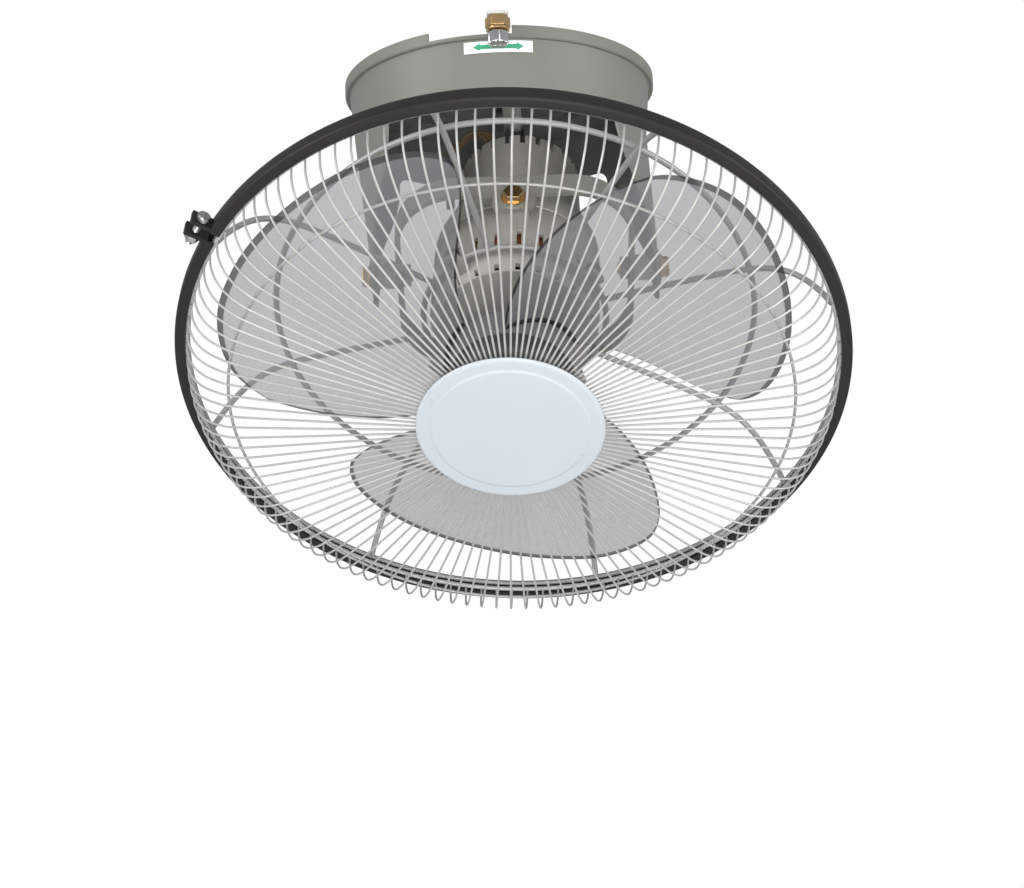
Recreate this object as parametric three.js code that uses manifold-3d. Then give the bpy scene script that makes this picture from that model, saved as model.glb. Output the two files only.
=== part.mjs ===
// Orbital ceiling fan. Millimetres, +Z up, the ceiling plane is Z = 0 and the drum axis is the Z axis.
// The fan head hangs in a gimbal. Along its own axis, places are given as a distance ahead of the
// gimbal centre, towards the front guard, which is the head's own -Z.
import * as THREE from 'three';
import { mergeVertices } from 'three/addons/utils/BufferGeometryUtils.js';
import Module from 'manifold-3d';

const wasm = await Module();
wasm.setup();

const gap = 0.3; // clearance between neighbouring pieces
const turn = Math.PI * 2;
const degrees = THREE.MathUtils.degToRad;

// ---- driving dimensions ----
const plate = { radius: 70, thickness: 2, armWidth: 14, armReach: 125, boltCircle: 50, boltCount: 3 };
const drum = {
  collarRadius: 109.5, collarTop: -3.8, collarBottom: -12.3, sheet: 1.6,
  wallTopRadius: 106, wallBottomRadius: 103, wallBottom: -46.8,
  notchFrom: -25.1, notchTo: 5.2, notchBottom: -9.8,
  deckTop: -10, domeRadius: 76, earRadius: 99.7, earBottom: -164.5,
  padRadius: 11.5, padOut: 1, padIn: 1.6, earTopHalf: 66, earNeckHalf: 27, earCorner: 11, earNeck: -132,
};
const gimbal = { x: 7, z: -142.3, tilt: -33.57, sideTilt: 2.95, pivotDrop: 15 };
const ring = {
  halfWidth: 82.5, halfLength: 77, corner: 44, thickness: 3, top: 9, bottom: -11,
  tabWidth: 29, tabBottom: -27,
};
const pivot = { shank: 4, headRadius: 8.2, headHeight: 6, bushRadius: 9, nutHeight: 6, lugRadius: 10.5 };
const motor = {
  radius: 58, tailRadius: 43, tailEnd: -102, split: -2, frontShoulder: 50, faceRadius: 51, frontEnd: 62,
  wall: 2.4, crownSlots: 24, crownSlotWidth: 3.6, crownSlotDepth: 10, ventCount: 24, ventWidth: 3.2,
  facets: 48,
};
const facet = turn / motor.facets;
const shaft = { radius: 4, rear: -56, front: 124 };
const crank = {
  throwLength: 69.6, armWidth: 16, armThickness: 4, armAt: -104.3, pinRadius: 4.5, azimuth: -4.4,
};
const hub = { radius: 42, rear: 86, front: 111 };
const blade = {
  count: 3, thickness: 2.4, rearEdge: 78, frontEdge: 108, camber: 5, rootRise: 20,
  rootLow: 24, rootHigh: 104, firstAzimuth: 0,
};
const guard = {
  wires: 120, wireRadius: 1.25, rimRadius: 216.8, rimWire: 2.4, rearRimAt: 98.4, frontRimAt: 103.6,
  stiffenerRadius: 185.3, stiffenerWire: 1.1, stiffenerAt: 139.4,
  rearRingRadius: 163.5, rearRingAt: 46.6, rearWire: 2.1, spokes: 8, spokeAzimuth: 30,
  neckRadius: 62.6, neckAt: 49, plateInner: 40, plateOuter: 58, plateAt: 153.2, plateThickness: 3.2,
};
const band = {
  outer: 225, inner: 217.6, rear: 94.8, front: 107.2, wall: 1.6, clampAzimuth: 212, clampGap: 7,
};
const badge = { radius: 61.8, back: 157.5, front: 160.2, screwCircle: 49, screwCount: 3 };
const lock = { x: 0.5, y: -117.6, capRadius: 6.7, capTop: -12, capBottom: -21.6, nutRadius: 8.5, stud: 2.5 };
const label = { halfWidth: 23, top: -13.6, bottom: -21.4, centre: 0.4 };

// ---- materials ----
function finish(color, roughness, metalness, opacity = 1) {
  return new THREE.MeshStandardMaterial({ color, roughness, metalness, opacity, transparent: opacity < 1 });
}
const greyPaint = finish(0xa3a199, 0.5, 0.15);
const paleGrey = finish(0xb9bab4, 0.45, 0.2);
const darkBand = finish(0x4b4a46, 0.45, 0.2);
const smoke = finish(0x8c8c90, 0.2, 0, 0.55);
const chrome = finish(0xc9cac8, 0.18, 1);
const brass = finish(0xb98d5a, 0.35, 1);
const steel = finish(0x9a9a96, 0.35, 1);
const black = finish(0x232323, 0.6, 0);
const badgeWhite = finish(0xd5dce4, 0.35, 0);
const nylon = finish(0xd8d6cc, 0.6, 0);
const copper = finish(0xa5673a, 0.45, 0.6);
const brownWire = finish(0x6d5436, 0.55, 0);
const labelWhite = finish(0xeef2ee, 0.5, 0);

// ---- solids ----
function toManifold(geometry) {
  const bare = geometry.clone();
  bare.deleteAttribute('normal');
  bare.deleteAttribute('uv');
  const welded = mergeVertices(bare, 1e-4);
  const index = welded.index.array;
  const triVerts = [];
  for (let i = 0; i < index.length; i += 3) {
    const [a, b, c] = [index[i], index[i + 1], index[i + 2]];
    if (a !== b && b !== c && c !== a) triVerts.push(a, b, c);
  }
  const vertProperties = new Float32Array(welded.attributes.position.array);
  const mesh = new wasm.Mesh({ numProp: 3, vertProperties, triVerts: new Uint32Array(triVerts) });
  const solid = new wasm.Manifold(mesh);
  if (solid.volume() > 0) return solid;
  for (let i = 0; i < triVerts.length; i += 3) {
    [triVerts[i + 1], triVerts[i + 2]] = [triVerts[i + 2], triVerts[i + 1]];
  }
  const turned = new wasm.Mesh({ numProp: 3, vertProperties, triVerts: new Uint32Array(triVerts) });
  return new wasm.Manifold(turned);
}

function toGeometry(solid) {
  const mesh = solid.getMesh();
  const geometry = new THREE.BufferGeometry();
  const positions = new Float32Array(mesh.vertProperties.length / mesh.numProp * 3);
  for (let i = 0; i < positions.length / 3; i += 1) {
    for (let k = 0; k < 3; k += 1) positions[i * 3 + k] = mesh.vertProperties[i * mesh.numProp + k];
  }
  geometry.setAttribute('position', new THREE.BufferAttribute(positions, 3));
  geometry.setIndex([...mesh.triVerts]);
  geometry.computeVertexNormals();
  return geometry;
}

function join(first, ...others) {
  return toGeometry(others.reduce((sum, other) => sum.add(toManifold(other)), toManifold(first)));
}

function cut(body, ...tools) {
  return toGeometry(tools.reduce((rest, tool) => rest.subtract(toManifold(tool)), toManifold(body)));
}

function common(one, other) {
  return toGeometry(toManifold(one).intersect(toManifold(other)));
}

// A solid of revolution about Z from [radius, z] corners.
function revolve(corners, segments = 40) {
  const points = corners.map(([r, z]) => new THREE.Vector2(r, z));
  const closed = corners[0][0] > 0 || corners[corners.length - 1][0] > 0;
  if (closed) points.push(points[0].clone());
  return new THREE.LatheGeometry(points, segments).rotateX(Math.PI / 2);
}

function rod(radius, bottom, top, sides = 12) {
  const length = top - bottom;
  return new THREE.CylinderGeometry(radius, radius, length, sides).rotateX(Math.PI / 2)
    .translate(0, 0, (top + bottom) / 2);
}

function tube(inner, outer, bottom, top, segments = 14) {
  return revolve([[inner, bottom], [outer, bottom], [outer, top], [inner, top]], segments);
}

function box(x0, x1, y0, y1, z0, z1) {
  return new THREE.BoxGeometry(x1 - x0, y1 - y0, z1 - z0)
    .translate((x0 + x1) / 2, (y0 + y1) / 2, (z0 + z1) / 2);
}

// A rod along X or Y instead of Z.
function rodX(radius, from, to, sides = 12) {
  return rod(radius, from, to, sides).rotateY(Math.PI / 2);
}

function rodY(radius, from, to, sides = 12) {
  return rod(radius, -to, -from, sides).rotateX(Math.PI / 2);
}

function slab(shape, bottom, top, curveSegments = 8) {
  return new THREE.ExtrudeGeometry(shape, { depth: top - bottom, bevelEnabled: false, curveSegments })
    .translate(0, 0, bottom);
}

function cord(points, radius, sides, steps) {
  const path = new THREE.CatmullRomCurve3(points);
  const section = new THREE.Shape();
  for (let i = 0; i < sides; i += 1) {
    const a = turn * (i + 0.5) / sides;
    const [x, y] = [radius * Math.cos(a), radius * Math.sin(a)];
    if (i === 0) section.moveTo(x, y);
    else section.lineTo(x, y);
  }
  return new THREE.ExtrudeGeometry(section, { steps, bevelEnabled: false, extrudePath: path });
}

function wireRing(radius, z, wireRadius, segments = 60, sides = 4) {
  const corners = [];
  for (let i = 0; i < sides; i += 1) {
    const a = turn * (i + 0.5) / sides;
    corners.push([radius + wireRadius * Math.cos(a), z + wireRadius * Math.sin(a)]);
  }
  return revolve(corners, segments);
}

// A guard wire bent in one plane through the head's axis, from [radius, ahead] stations.
function bentWire(stations, radius, sides, azimuth) {
  const last = stations.length - 1;
  const prism = new THREE.CylinderGeometry(radius, radius, last, sides, last);
  const position = prism.attributes.position;
  for (let i = 0; i < position.count; i += 1) {
    const k = Math.round(position.getY(i) + last / 2);
    const step = (from) => new THREE.Vector2(stations[from + 1][0] - stations[from][0],
      stations[from + 1][1] - stations[from][1]).normalize();
    const [arriving, leaving] = [step(Math.max(k - 1, 0)), step(Math.min(k, last - 1))];
    const along = arriving.clone().add(leaving).normalize();
    const here = stations[k];
    const offset = position.getX(i) / along.dot(arriving);
    const [r, ahead] = [here[0] - along.y * offset, here[1] + along.x * offset];
    position.setXYZ(i, r, position.getZ(i), -ahead);
  }
  return prism.rotateZ(degrees(azimuth));
}

// A point of the fan head from radius, azimuth in degrees and distance ahead of the gimbal centre.
function headPoint(radius, azimuth, ahead) {
  const a = degrees(azimuth);
  return new THREE.Vector3(radius * Math.cos(a), radius * Math.sin(a), -ahead);
}

function around(count, make) {
  return Array.from({ length: count }, (_, i) => make(i, turn * i / count));
}

function part(name, geometry, material) {
  const mesh = new THREE.Mesh(geometry, material);
  mesh.name = name;
  return mesh;
}

// ---- ceiling plate and drum ----
function mountBoltSpots() {
  return around(plate.boltCount, (i, a) => {
    const angle = a + Math.PI / 2;
    return [plate.boltCircle * Math.cos(angle), plate.boltCircle * Math.sin(angle)];
  });
}

function ceilingPlate() {
  const disc = rod(plate.radius, -plate.thickness, 0, 40);
  const half = plate.armWidth / 2;
  const arm = box(lock.x - half, lock.x + half, -plate.armReach, 0, -plate.thickness, 0);
  const holes = mountBoltSpots().map(([x, y]) => rod(lock.stud + gap, -9, 9).translate(x, y, 0));
  const studHole = rod(lock.stud + gap, -9, 9).translate(lock.x, lock.y, 0);
  return cut(join(disc, arm), ...holes, studHole);
}

function domeTop() {
  return -plate.thickness - gap;
}

function wallRadiusAt(z) {
  const t = (drum.collarBottom - z) / (drum.collarBottom - drum.wallBottom);
  return THREE.MathUtils.lerp(drum.wallTopRadius, drum.wallBottomRadius, t);
}

function drumShell() {
  const s = drum.sheet;
  const steps = 3;
  const outer = [];
  const inner = [];
  for (let i = 0; i <= steps; i += 1) {
    const z = THREE.MathUtils.lerp(drum.wallBottom, drum.earBottom, i / steps);
    const r = THREE.MathUtils.lerp(drum.wallBottomRadius, drum.earRadius, i / steps);
    outer.push([r, z]);
    inner.unshift([r - s, z]);
  }
  const deckBottom = drum.deckTop - s;
  return revolve([
    [0, domeTop()], [drum.domeRadius, domeTop()], [drum.domeRadius, drum.deckTop],
    [drum.collarRadius - s, drum.deckTop], [drum.collarRadius - s, drum.collarTop],
    [drum.collarRadius, drum.collarTop], [drum.collarRadius, drum.collarBottom],
    [drum.wallTopRadius, drum.collarBottom - 0.6], ...outer, ...inner,
    [drum.wallTopRadius - s, deckBottom], [drum.domeRadius - s, deckBottom],
    [drum.domeRadius - s, domeTop() - s], [0, domeTop() - s],
  ], 56);
}

// The ears as seen along X: the wall band above, two lugs that narrow to a round end at the pivot.
function earOutline() {
  const wide = drum.collarRadius + 20;
  const low = gimbal.z;
  const round = low - drum.earBottom;
  const [half, corner, top] = [drum.earTopHalf, drum.earCorner, drum.wallBottom];
  const shape = new THREE.Shape();
  shape.moveTo(-wide, 20);
  shape.lineTo(-wide, top);
  shape.lineTo(-half - corner, top);
  shape.quadraticCurveTo(-half, top, -half, top - corner);
  shape.bezierCurveTo(-half + 6, -95, -drum.earNeckHalf - 4, -112, -drum.earNeckHalf, drum.earNeck);
  shape.quadraticCurveTo(-round, low, -round * Math.SQRT1_2, low - round * Math.SQRT1_2);
  shape.quadraticCurveTo(-round * 0.4, drum.earBottom, 0, drum.earBottom);
  shape.quadraticCurveTo(round * 0.4, drum.earBottom, round * Math.SQRT1_2, low - round * Math.SQRT1_2);
  shape.quadraticCurveTo(round, low, drum.earNeckHalf, drum.earNeck);
  shape.bezierCurveTo(drum.earNeckHalf + 4, -112, half - 6, -95, half, top - corner);
  shape.quadraticCurveTo(half, top, half + corner, top);
  shape.lineTo(wide, top);
  shape.lineTo(wide, 20);
  return shape;
}

// The ears lean to the gimbal side, so that both pivots stand level about the gimbal centre.
function leanEars(geometry) {
  const position = geometry.attributes.position;
  for (let i = 0; i < position.count; i += 1) {
    const z = position.getZ(i);
    const t = Math.max(0, (drum.wallBottom - z) / (drum.wallBottom - gimbal.z));
    position.setX(i, position.getX(i) + gimbal.x * Math.min(t, 1));
  }
  geometry.computeVertexNormals();
  return geometry;
}

function notchCutter() {
  const shape = new THREE.Shape();
  const from = degrees(-90 + drum.notchFrom);
  const to = degrees(-90 + drum.notchTo);
  shape.absarc(0, 0, drum.collarRadius + 3, from, to, false);
  shape.absarc(0, 0, drum.collarRadius - drum.sheet - 1, to, from, true);
  return slab(shape, drum.notchBottom, drum.collarTop + 3, 5);
}

function earFace() {
  return THREE.MathUtils.lerp(drum.wallBottomRadius, drum.earRadius,
    (drum.wallBottom - gimbal.z) / (drum.wallBottom - drum.earBottom));
}

// Flat round pads are pressed into the ears at the pivots. These are the distances of their faces from the
// gimbal centre.
function padOutside() {
  return earFace() + drum.padOut;
}

function padInside() {
  return earFace() - drum.sheet - drum.padIn;
}

function drumHousing() {
  const wide = drum.collarRadius + 30;
  const outline = slab(earOutline(), -wide, wide, 5).rotateX(Math.PI / 2).rotateZ(Math.PI / 2);
  const shell = leanEars(common(drumShell(), outline));
  const pads = [-1, 1].map((side) => rodX(drum.padRadius, padInside(), padOutside(), 20)
    .rotateZ(side < 0 ? Math.PI : 0).translate(gimbal.x, 0, gimbal.z));
  const pivotHoles = rodX(pivot.shank + gap, -130, 130).translate(gimbal.x, 0, gimbal.z);
  const bolts = mountBoltSpots().map(([x, y]) => rod(lock.stud + gap, -9, 9).translate(x, y, 0));
  return cut(join(shell, ...pads), notchCutter(), pivotHoles, ...bolts);
}

function arrowLabel() {
  const r = (z) => wallRadiusAt(z) + gap;
  const thickness = 0.4;
  const sleeve = revolve([
    [r(label.bottom), label.bottom], [r(label.bottom) + thickness, label.bottom],
    [r(label.top) + thickness, label.top], [r(label.top), label.top],
  ], 144);
  const window = box(label.centre - label.halfWidth, label.centre + label.halfWidth, -130, -60, -40, 0);
  return common(sleeve, window);
}

function mountBolt(x, y) {
  const under = domeTop() - drum.sheet - gap;
  return join(rod(lock.stud, under - 1, -gap), rod(4.6, under - 3.6, under, 6)).translate(x, y, 0);
}

function centreBearing() {
  const top = domeTop() - drum.sheet - gap;
  return tube(6.5, 14, top - 2.8, top, 24).translate(gimbal.x, 0, 0);
}

function thumbScrew() {
  const cap = revolve([
    [0, lock.capBottom], [lock.capRadius - 0.9, lock.capBottom], [lock.capRadius, lock.capBottom + 0.9],
    [lock.capRadius, lock.capTop], [0, lock.capTop],
  ], 20);
  const slot = box(-0.7, 0.7, -9, 9, lock.capBottom - 1, lock.capBottom + 1.4);
  return cut(join(cap, rod(lock.stud, lock.capTop - 1, -gap, 12)), slot).translate(lock.x, lock.y, 0);
}

function lockWasher() {
  return tube(lock.stud + gap, lock.nutRadius - 0.8, lock.capTop + gap, lock.capTop + 2.2)
    .translate(lock.x, lock.y, 0);
}

function lockNut() {
  const top = -plate.thickness - gap;
  const hex = cut(rod(lock.nutRadius, lock.capTop + 2.2 + gap, top, 6), rod(lock.stud + gap, -30, 9));
  return hex.translate(lock.x, lock.y, 0);
}

// ---- ear pivots: side is -1 for the left ear and 1 for the right ear ----
function earBolt(side) {
  const face = padOutside() + gap;
  const head = rodX(pivot.headRadius, face, face + pivot.headHeight, 6);
  const shank = rodX(pivot.shank, ring.halfWidth - ring.thickness - pivot.nutHeight - 2, face + 1);
  return join(head, shank).rotateZ(side < 0 ? Math.PI : 0).translate(gimbal.x, 0, gimbal.z);
}

function earBush(side) {
  const from = ring.halfWidth + gap;
  const to = padInside() - gap;
  return cut(rodX(pivot.bushRadius, from, to), rodX(pivot.shank + gap, from - 5, to + 5))
    .rotateZ(side < 0 ? Math.PI : 0).translate(gimbal.x, 0, gimbal.z);
}

function earNut(side) {
  const to = ring.halfWidth - ring.thickness - gap;
  return cut(rodX(pivot.headRadius, to - pivot.nutHeight, to, 6), rodX(pivot.shank + gap, 0, 200))
    .rotateZ(side < 0 ? Math.PI : 0).translate(gimbal.x, 0, gimbal.z);
}

// ---- gimbal ring, with the gimbal centre at the origin ----
function roundedPlan(halfWidth, halfLength, corner) {
  const [x, y, r] = [halfWidth, halfLength, corner];
  const shape = new THREE.Shape();
  shape.moveTo(x, -y + r);
  shape.lineTo(x, y - r);
  shape.absarc(x - r, y - r, r, 0, Math.PI / 2, false);
  shape.lineTo(-x + r, y);
  shape.absarc(-x + r, y - r, r, Math.PI / 2, Math.PI, false);
  shape.lineTo(-x, -y + r);
  shape.absarc(-x + r, -y + r, r, Math.PI, Math.PI * 1.5, false);
  shape.lineTo(x - r, -y);
  shape.absarc(x - r, -y + r, r, Math.PI * 1.5, turn, false);
  return shape;
}

function gimbalRing() {
  const t = ring.thickness;
  const outer = roundedPlan(ring.halfWidth, ring.halfLength, ring.corner);
  const inner = roundedPlan(ring.halfWidth - t, ring.halfLength - t, ring.corner - t);
  const strip = cut(slab(outer, ring.bottom, ring.top, 7), slab(inner, ring.bottom - 1, ring.top + 1, 7));
  const half = ring.tabWidth / 2;
  const tabs = [-1, 1].map((end) => {
    const middle = end * (ring.halfLength - t / 2);
    return box(-half, half, middle - t / 2, middle + t / 2, ring.tabBottom, ring.bottom + 2);
  });
  const earHoles = rodX(pivot.shank + gap, -120, 120);
  const tabHoles = rodY(pivot.shank + gap, -120, 120).translate(0, 0, -gimbal.pivotDrop);
  return cut(join(strip, ...tabs), earHoles, tabHoles);
}

// ---- motor ----
function rearCover() {
  const w = motor.wall;
  const z = (ahead) => -ahead;
  const shell = revolve([
    [0, z(motor.tailEnd)], [motor.tailRadius, z(motor.tailEnd)],
    [motor.tailRadius + 1, z(-64)], [motor.tailRadius + 5, z(-43)], [motor.radius - 4, z(-27)],
    [motor.radius, z(-16)], [motor.radius, z(motor.split)], [motor.radius - w, z(motor.split)],
    [motor.radius - w, z(-16)], [motor.tailRadius + 5 - w, z(-42)], [motor.tailRadius - w, z(-66)],
    [motor.tailRadius - w, z(motor.tailEnd + w)], [0, z(motor.tailEnd + w)],
  ], motor.facets);
  const depth = motor.crownSlotDepth;
  const half = motor.crownSlotWidth / 2;
  const [slotInner, slotOuter] = [motor.tailRadius - 7, motor.tailRadius + 4];
  const slots = around(motor.crownSlots, (i, a) => box(slotInner, slotOuter, -half, half,
    z(motor.tailEnd + depth), z(motor.tailEnd - 3)).rotateZ(a + facet / 2));
  const shaftHole = rod(5.5 + gap, 80, 120);
  return cut(shell, ...slots, shaftHole);
}

function pivotLug(end) {
  const reach = ring.halfLength - ring.thickness - gap;
  const near = motor.radius - 6;
  return (end < 0 ? rodY(pivot.lugRadius, -reach, -near, 20) : rodY(pivot.lugRadius, near, reach, 20))
    .translate(0, 0, -gimbal.pivotDrop);
}

function guardLug(azimuth) {
  const top = -(guard.neckAt + guard.rearWire + gap);
  return box(motor.radius - 3, guard.neckRadius + 9, -6.5, 6.5, -56.5, top).rotateZ(azimuth);
}

function guardScrewAzimuths() {
  return around(4, (i, a) => a + degrees(52.5));
}

function frontCover() {
  const w = motor.wall;
  const z = (ahead) => -ahead;
  const cup = revolve([
    [0, z(motor.split + gap)], [motor.radius, z(motor.split + gap)], [motor.radius, z(motor.frontShoulder)],
    [motor.radius - 1.6, z(motor.frontShoulder + 6)], [motor.faceRadius, z(motor.frontEnd)],
    [0, z(motor.frontEnd)],
  ], motor.facets);
  const hollow = revolve([
    [0, 9], [motor.radius - w, 9], [motor.radius - w, z(motor.frontShoulder + 3)],
    [motor.faceRadius - 1, z(motor.frontEnd - w)], [0, z(motor.frontEnd - w)],
  ], motor.facets);
  const boss = rod(14.5, z(motor.frontEnd + 6), z(motor.frontEnd - w), 24);
  const bearingSeat = rod(11.5, z(motor.frontEnd + 3), 9, 24);
  const shaftHole = rod(shaft.radius + 1.2, -90, 0);
  const body = join(cup, boss, pivotLug(-1), pivotLug(1), ...guardScrewAzimuths().map(guardLug));
  const half = motor.ventWidth / 2;
  const vents = around(motor.ventCount, (i, a) => box(motor.faceRadius + 1, motor.radius + 3, -half, half,
    z(50), z(38)).rotateZ(a + facet / 2));
  const faceVents = around(motor.ventCount, (i, a) => box(motor.faceRadius - 2, motor.radius, -half, half,
    z(motor.frontEnd - 1.2), z(motor.frontShoulder + 7.2)).rotateZ(a + facet / 2));
  const boltHoles = rodY(pivot.shank + gap, -120, 120).translate(0, 0, -gimbal.pivotDrop);
  const screwHoles = guardScrewAzimuths().map((a) => rod(2.3, -70, -40, 12)
    .translate(guard.neckRadius + guard.rearWire + 2.4, 0, 0).rotateZ(a));
  return cut(body, hollow, bearingSeat, shaftHole, ...vents, ...faceVents, boltHoles, ...screwHoles);
}

function pivotBolt(end) {
  const outside = ring.halfLength + gap;
  const head = rodY(pivot.headRadius, outside, outside + pivot.headHeight, 6);
  const shank = rodY(pivot.shank, motor.radius + 1, outside + 1);
  return join(head, shank).rotateZ(end < 0 ? Math.PI : 0).translate(0, 0, -gimbal.pivotDrop);
}

function stator() {
  const outer = motor.radius - motor.wall - gap;
  return revolve([
    [31, -32], [34, -44], [48, -44], [outer, -32], [outer, 4], [48, 15], [34, 15], [31, 4],
  ], 24);
}

function rotorCore() {
  return tube(shaft.radius + gap, 30, -33, 5, 32);
}

function bearing(ahead) {
  return tube(shaft.radius + gap, 11.2, -ahead - 5, -ahead);
}

function gearbox() {
  const outer = motor.tailRadius - motor.wall - 1;
  const back = -(motor.tailEnd + motor.wall + gap);
  const can = rod(outer - 5, 62, back, 24);
  const seat = tube(outer - 6, outer, 66, 70, 24);
  const well = rod(11.2 + gap, 50, 65);
  const shaftWell = rod(shaft.radius + gap, 50, 74);
  const crankWell = rod(5.5 + gap, back - 12, back + 5);
  return cut(join(can, seat), well, shaftWell, crankWell);
}

function motorShaft() {
  const collar = rod(shaft.radius + 2.4, -(hub.rear - gap), -(hub.rear - 4));
  return join(rod(shaft.radius, -shaft.front, -shaft.rear), collar);
}

function motorWires() {
  const strands = [0, 1, 2].map((i) => {
    const spread = i * 3.4;
    return cord([
      new THREE.Vector3(-14 - spread, -30 + spread * 0.4, -motor.tailEnd + gap + 1.3),
      new THREE.Vector3(-21 - spread, -36 + spread * 0.2, 111),
      new THREE.Vector3(-36 - spread * 0.4, -36 + spread, 113),
      new THREE.Vector3(-48, -26 + spread, 103),
      new THREE.Vector3(-49.5, -17 + spread, 84),
      new THREE.Vector3(-49.5, -14 + spread, 66),
    ], 1.5, 4, 8);
  });
  const clip = box(-52, -46.3, -20, -4, 64, 70);
  return join(clip, ...strands);
}

function crankShaft() {
  return rod(5.5, 90, -crank.armAt + crank.armThickness - gap);
}

function crankArm() {
  const half = crank.armWidth / 2;
  const shape = new THREE.Shape();
  shape.absarc(0, 0, half, 0, Math.PI, false);
  shape.absarc(0, -crank.throwLength, half * 0.8, Math.PI, turn, false);
  const low = -crank.armAt;
  const bar = slab(shape, low, low + crank.armThickness, 6);
  const boss = rod(half + 1, low, low + crank.armThickness, 20);
  const pin = rod(crank.pinRadius, low + 1, low + 6.7).translate(0, -crank.throwLength, 0);
  return cut(join(bar, boss, pin), rod(5.5 + gap, low - 2, low + 9));
}

function crankBush() {
  const low = -crank.armAt + crank.armThickness + gap;
  return tube(crank.pinRadius + gap, 6.4, low, low + 2.2).translate(0, -crank.throwLength, 0);
}

// ---- rotor ----
function bladeHub() {
  const shell = revolve([
    [0, -hub.rear], [hub.radius - 3, -hub.rear], [hub.radius, -hub.rear - 3], [hub.radius, -hub.front],
    [hub.radius - 3, -hub.front], [hub.radius - 3, -hub.rear - 4], [0, -hub.rear - 4],
  ], 36);
  const ribs = around(blade.count, (i, a) => box(0, hub.radius - 1, -1.5, 1.5, -hub.front, -hub.rear - 1)
    .rotateZ(a + 0.2));
  const boss = rod(12, -hub.front, -hub.rear - 1);
  return cut(join(shell, boss, ...ribs), rod(shaft.radius + gap, -150, -50, 16));
}

// The tip outline, from the low azimuth edge to the high one, as [radius, azimuth].
const bladeTip = [
  [168, 53], [189, 60.5], [198.6, 72], [197, 84], [190, 102], [184, 119], [176, 131], [163, 137],
  [148, 137.5],
];

function bladeMap(u, v) {
  const curve = new THREE.SplineCurve(bladeTip.map(([r, a]) => new THREE.Vector2(r, a)));
  const tip = curve.getPoint(v);
  const root = hub.radius + gap;
  const rootAzimuth = THREE.MathUtils.lerp(blade.rootLow, blade.rootHigh, v);
  const bow = THREE.MathUtils.lerp(u, 1 - (1 - u) * (1 - u), v);
  const azimuth = THREE.MathUtils.lerp(rootAzimuth, tip.y, bow);
  const radius = THREE.MathUtils.lerp(root, tip.x, u);
  const rise = THREE.MathUtils.lerp(blade.rootRise, blade.frontEdge - blade.rearEdge, Math.min(1, u * 1.6));
  const middle = THREE.MathUtils.lerp((hub.rear + hub.front) / 2, (blade.frontEdge + blade.rearEdge) / 2,
    Math.min(1, u * 1.6));
  const ahead = middle + rise * (0.5 - v) - blade.camber * Math.sin(Math.PI * v);
  return headPoint(radius, azimuth, ahead);
}

function bladeSolid(index) {
  const [along, across] = [8, 7];
  const sheet = new THREE.BoxGeometry(1, 1, 1, along, across, 1);
  const position = sheet.attributes.position;
  for (let i = 0; i < position.count; i += 1) {
    const u = position.getX(i) + 0.5;
    const v = position.getY(i) + 0.5;
    const point = bladeMap(u, v);
    position.setXYZ(i, point.x, point.y, point.z + position.getZ(i) * blade.thickness);
  }
  return toGeometry(toManifold(sheet)).rotateZ(turn * index / blade.count + degrees(blade.firstAzimuth));
}

function spinner() {
  const back = -(hub.front + gap);
  const cap = revolve([
    [0, back - 19], [22, back - 18], [34, back - 14], [39.5, back - 7], [41, back],
    [36, back], [34, back - 8], [0, back - 8],
  ], 32);
  return cut(cap, rod(shaft.radius + gap, -shaft.front - gap, -90, 16));
}

// ---- guards ----
function frontWire(azimuth) {
  return bentWire([
    [guard.rimRadius - 0.3, guard.frontRimAt], [214.8, 118], [205, 134.4], [184, 142.3],
    [guard.plateOuter - 2, guard.plateAt + guard.plateThickness / 2],
  ], guard.wireRadius, 3, azimuth);
}

function frontGuard() {
  const rim = wireRing(guard.rimRadius, -guard.frontRimAt, guard.rimWire);
  const middle = tube(guard.plateInner, guard.plateOuter, -(guard.plateAt + guard.plateThickness),
    -guard.plateAt, 60);
  const pitch = 360 / guard.wires;
  const wires = around(guard.wires, (i) => toManifold(frontWire((i + 0.5) * pitch)));
  const solid = wasm.Manifold.union([toManifold(rim), toManifold(middle), ...wires]);
  const holes = badgeScrewSpots().map(([x, y]) => rod(2.1, -170, -140, 8).translate(x, y, 0));
  return cut(toGeometry(solid), ...holes);
}

function stiffeningRing() {
  return wireRing(guard.stiffenerRadius, -guard.stiffenerAt, guard.stiffenerWire, 60, 3);
}

function spoke(azimuth) {
  return bentWire([
    [guard.rimRadius - 1.6, guard.rearRimAt + 0.6], [213.4, 72], [207.5, 57.5], [196, 49.8], [178, 46.8],
    [100, guard.rearRingAt + 0.8], [guard.neckRadius, guard.neckAt],
  ], guard.rearWire, 5, azimuth);
}

function rearGuard() {
  const rim = wireRing(guard.rimRadius, -guard.rearRimAt, guard.rimWire, 48);
  const mainRing = wireRing(guard.rearRingRadius, -guard.rearRingAt, guard.rearWire, 48);
  const neck = wireRing(guard.neckRadius, -guard.neckAt, guard.rearWire, 32);
  const spokes = around(guard.spokes, (i, a) => spoke(THREE.MathUtils.radToDeg(a) + guard.spokeAzimuth));
  return join(rim, mainRing, neck, ...spokes);
}

function guardScrew(azimuth) {
  const face = -(guard.neckAt - guard.rearWire - gap);
  const r = guard.neckRadius + guard.rearWire + 2.4;
  return join(rod(5.6, face, face + 2.6), rod(2, -58, face + 1, 12)).translate(r, 0, 0).rotateZ(azimuth);
}

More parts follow.
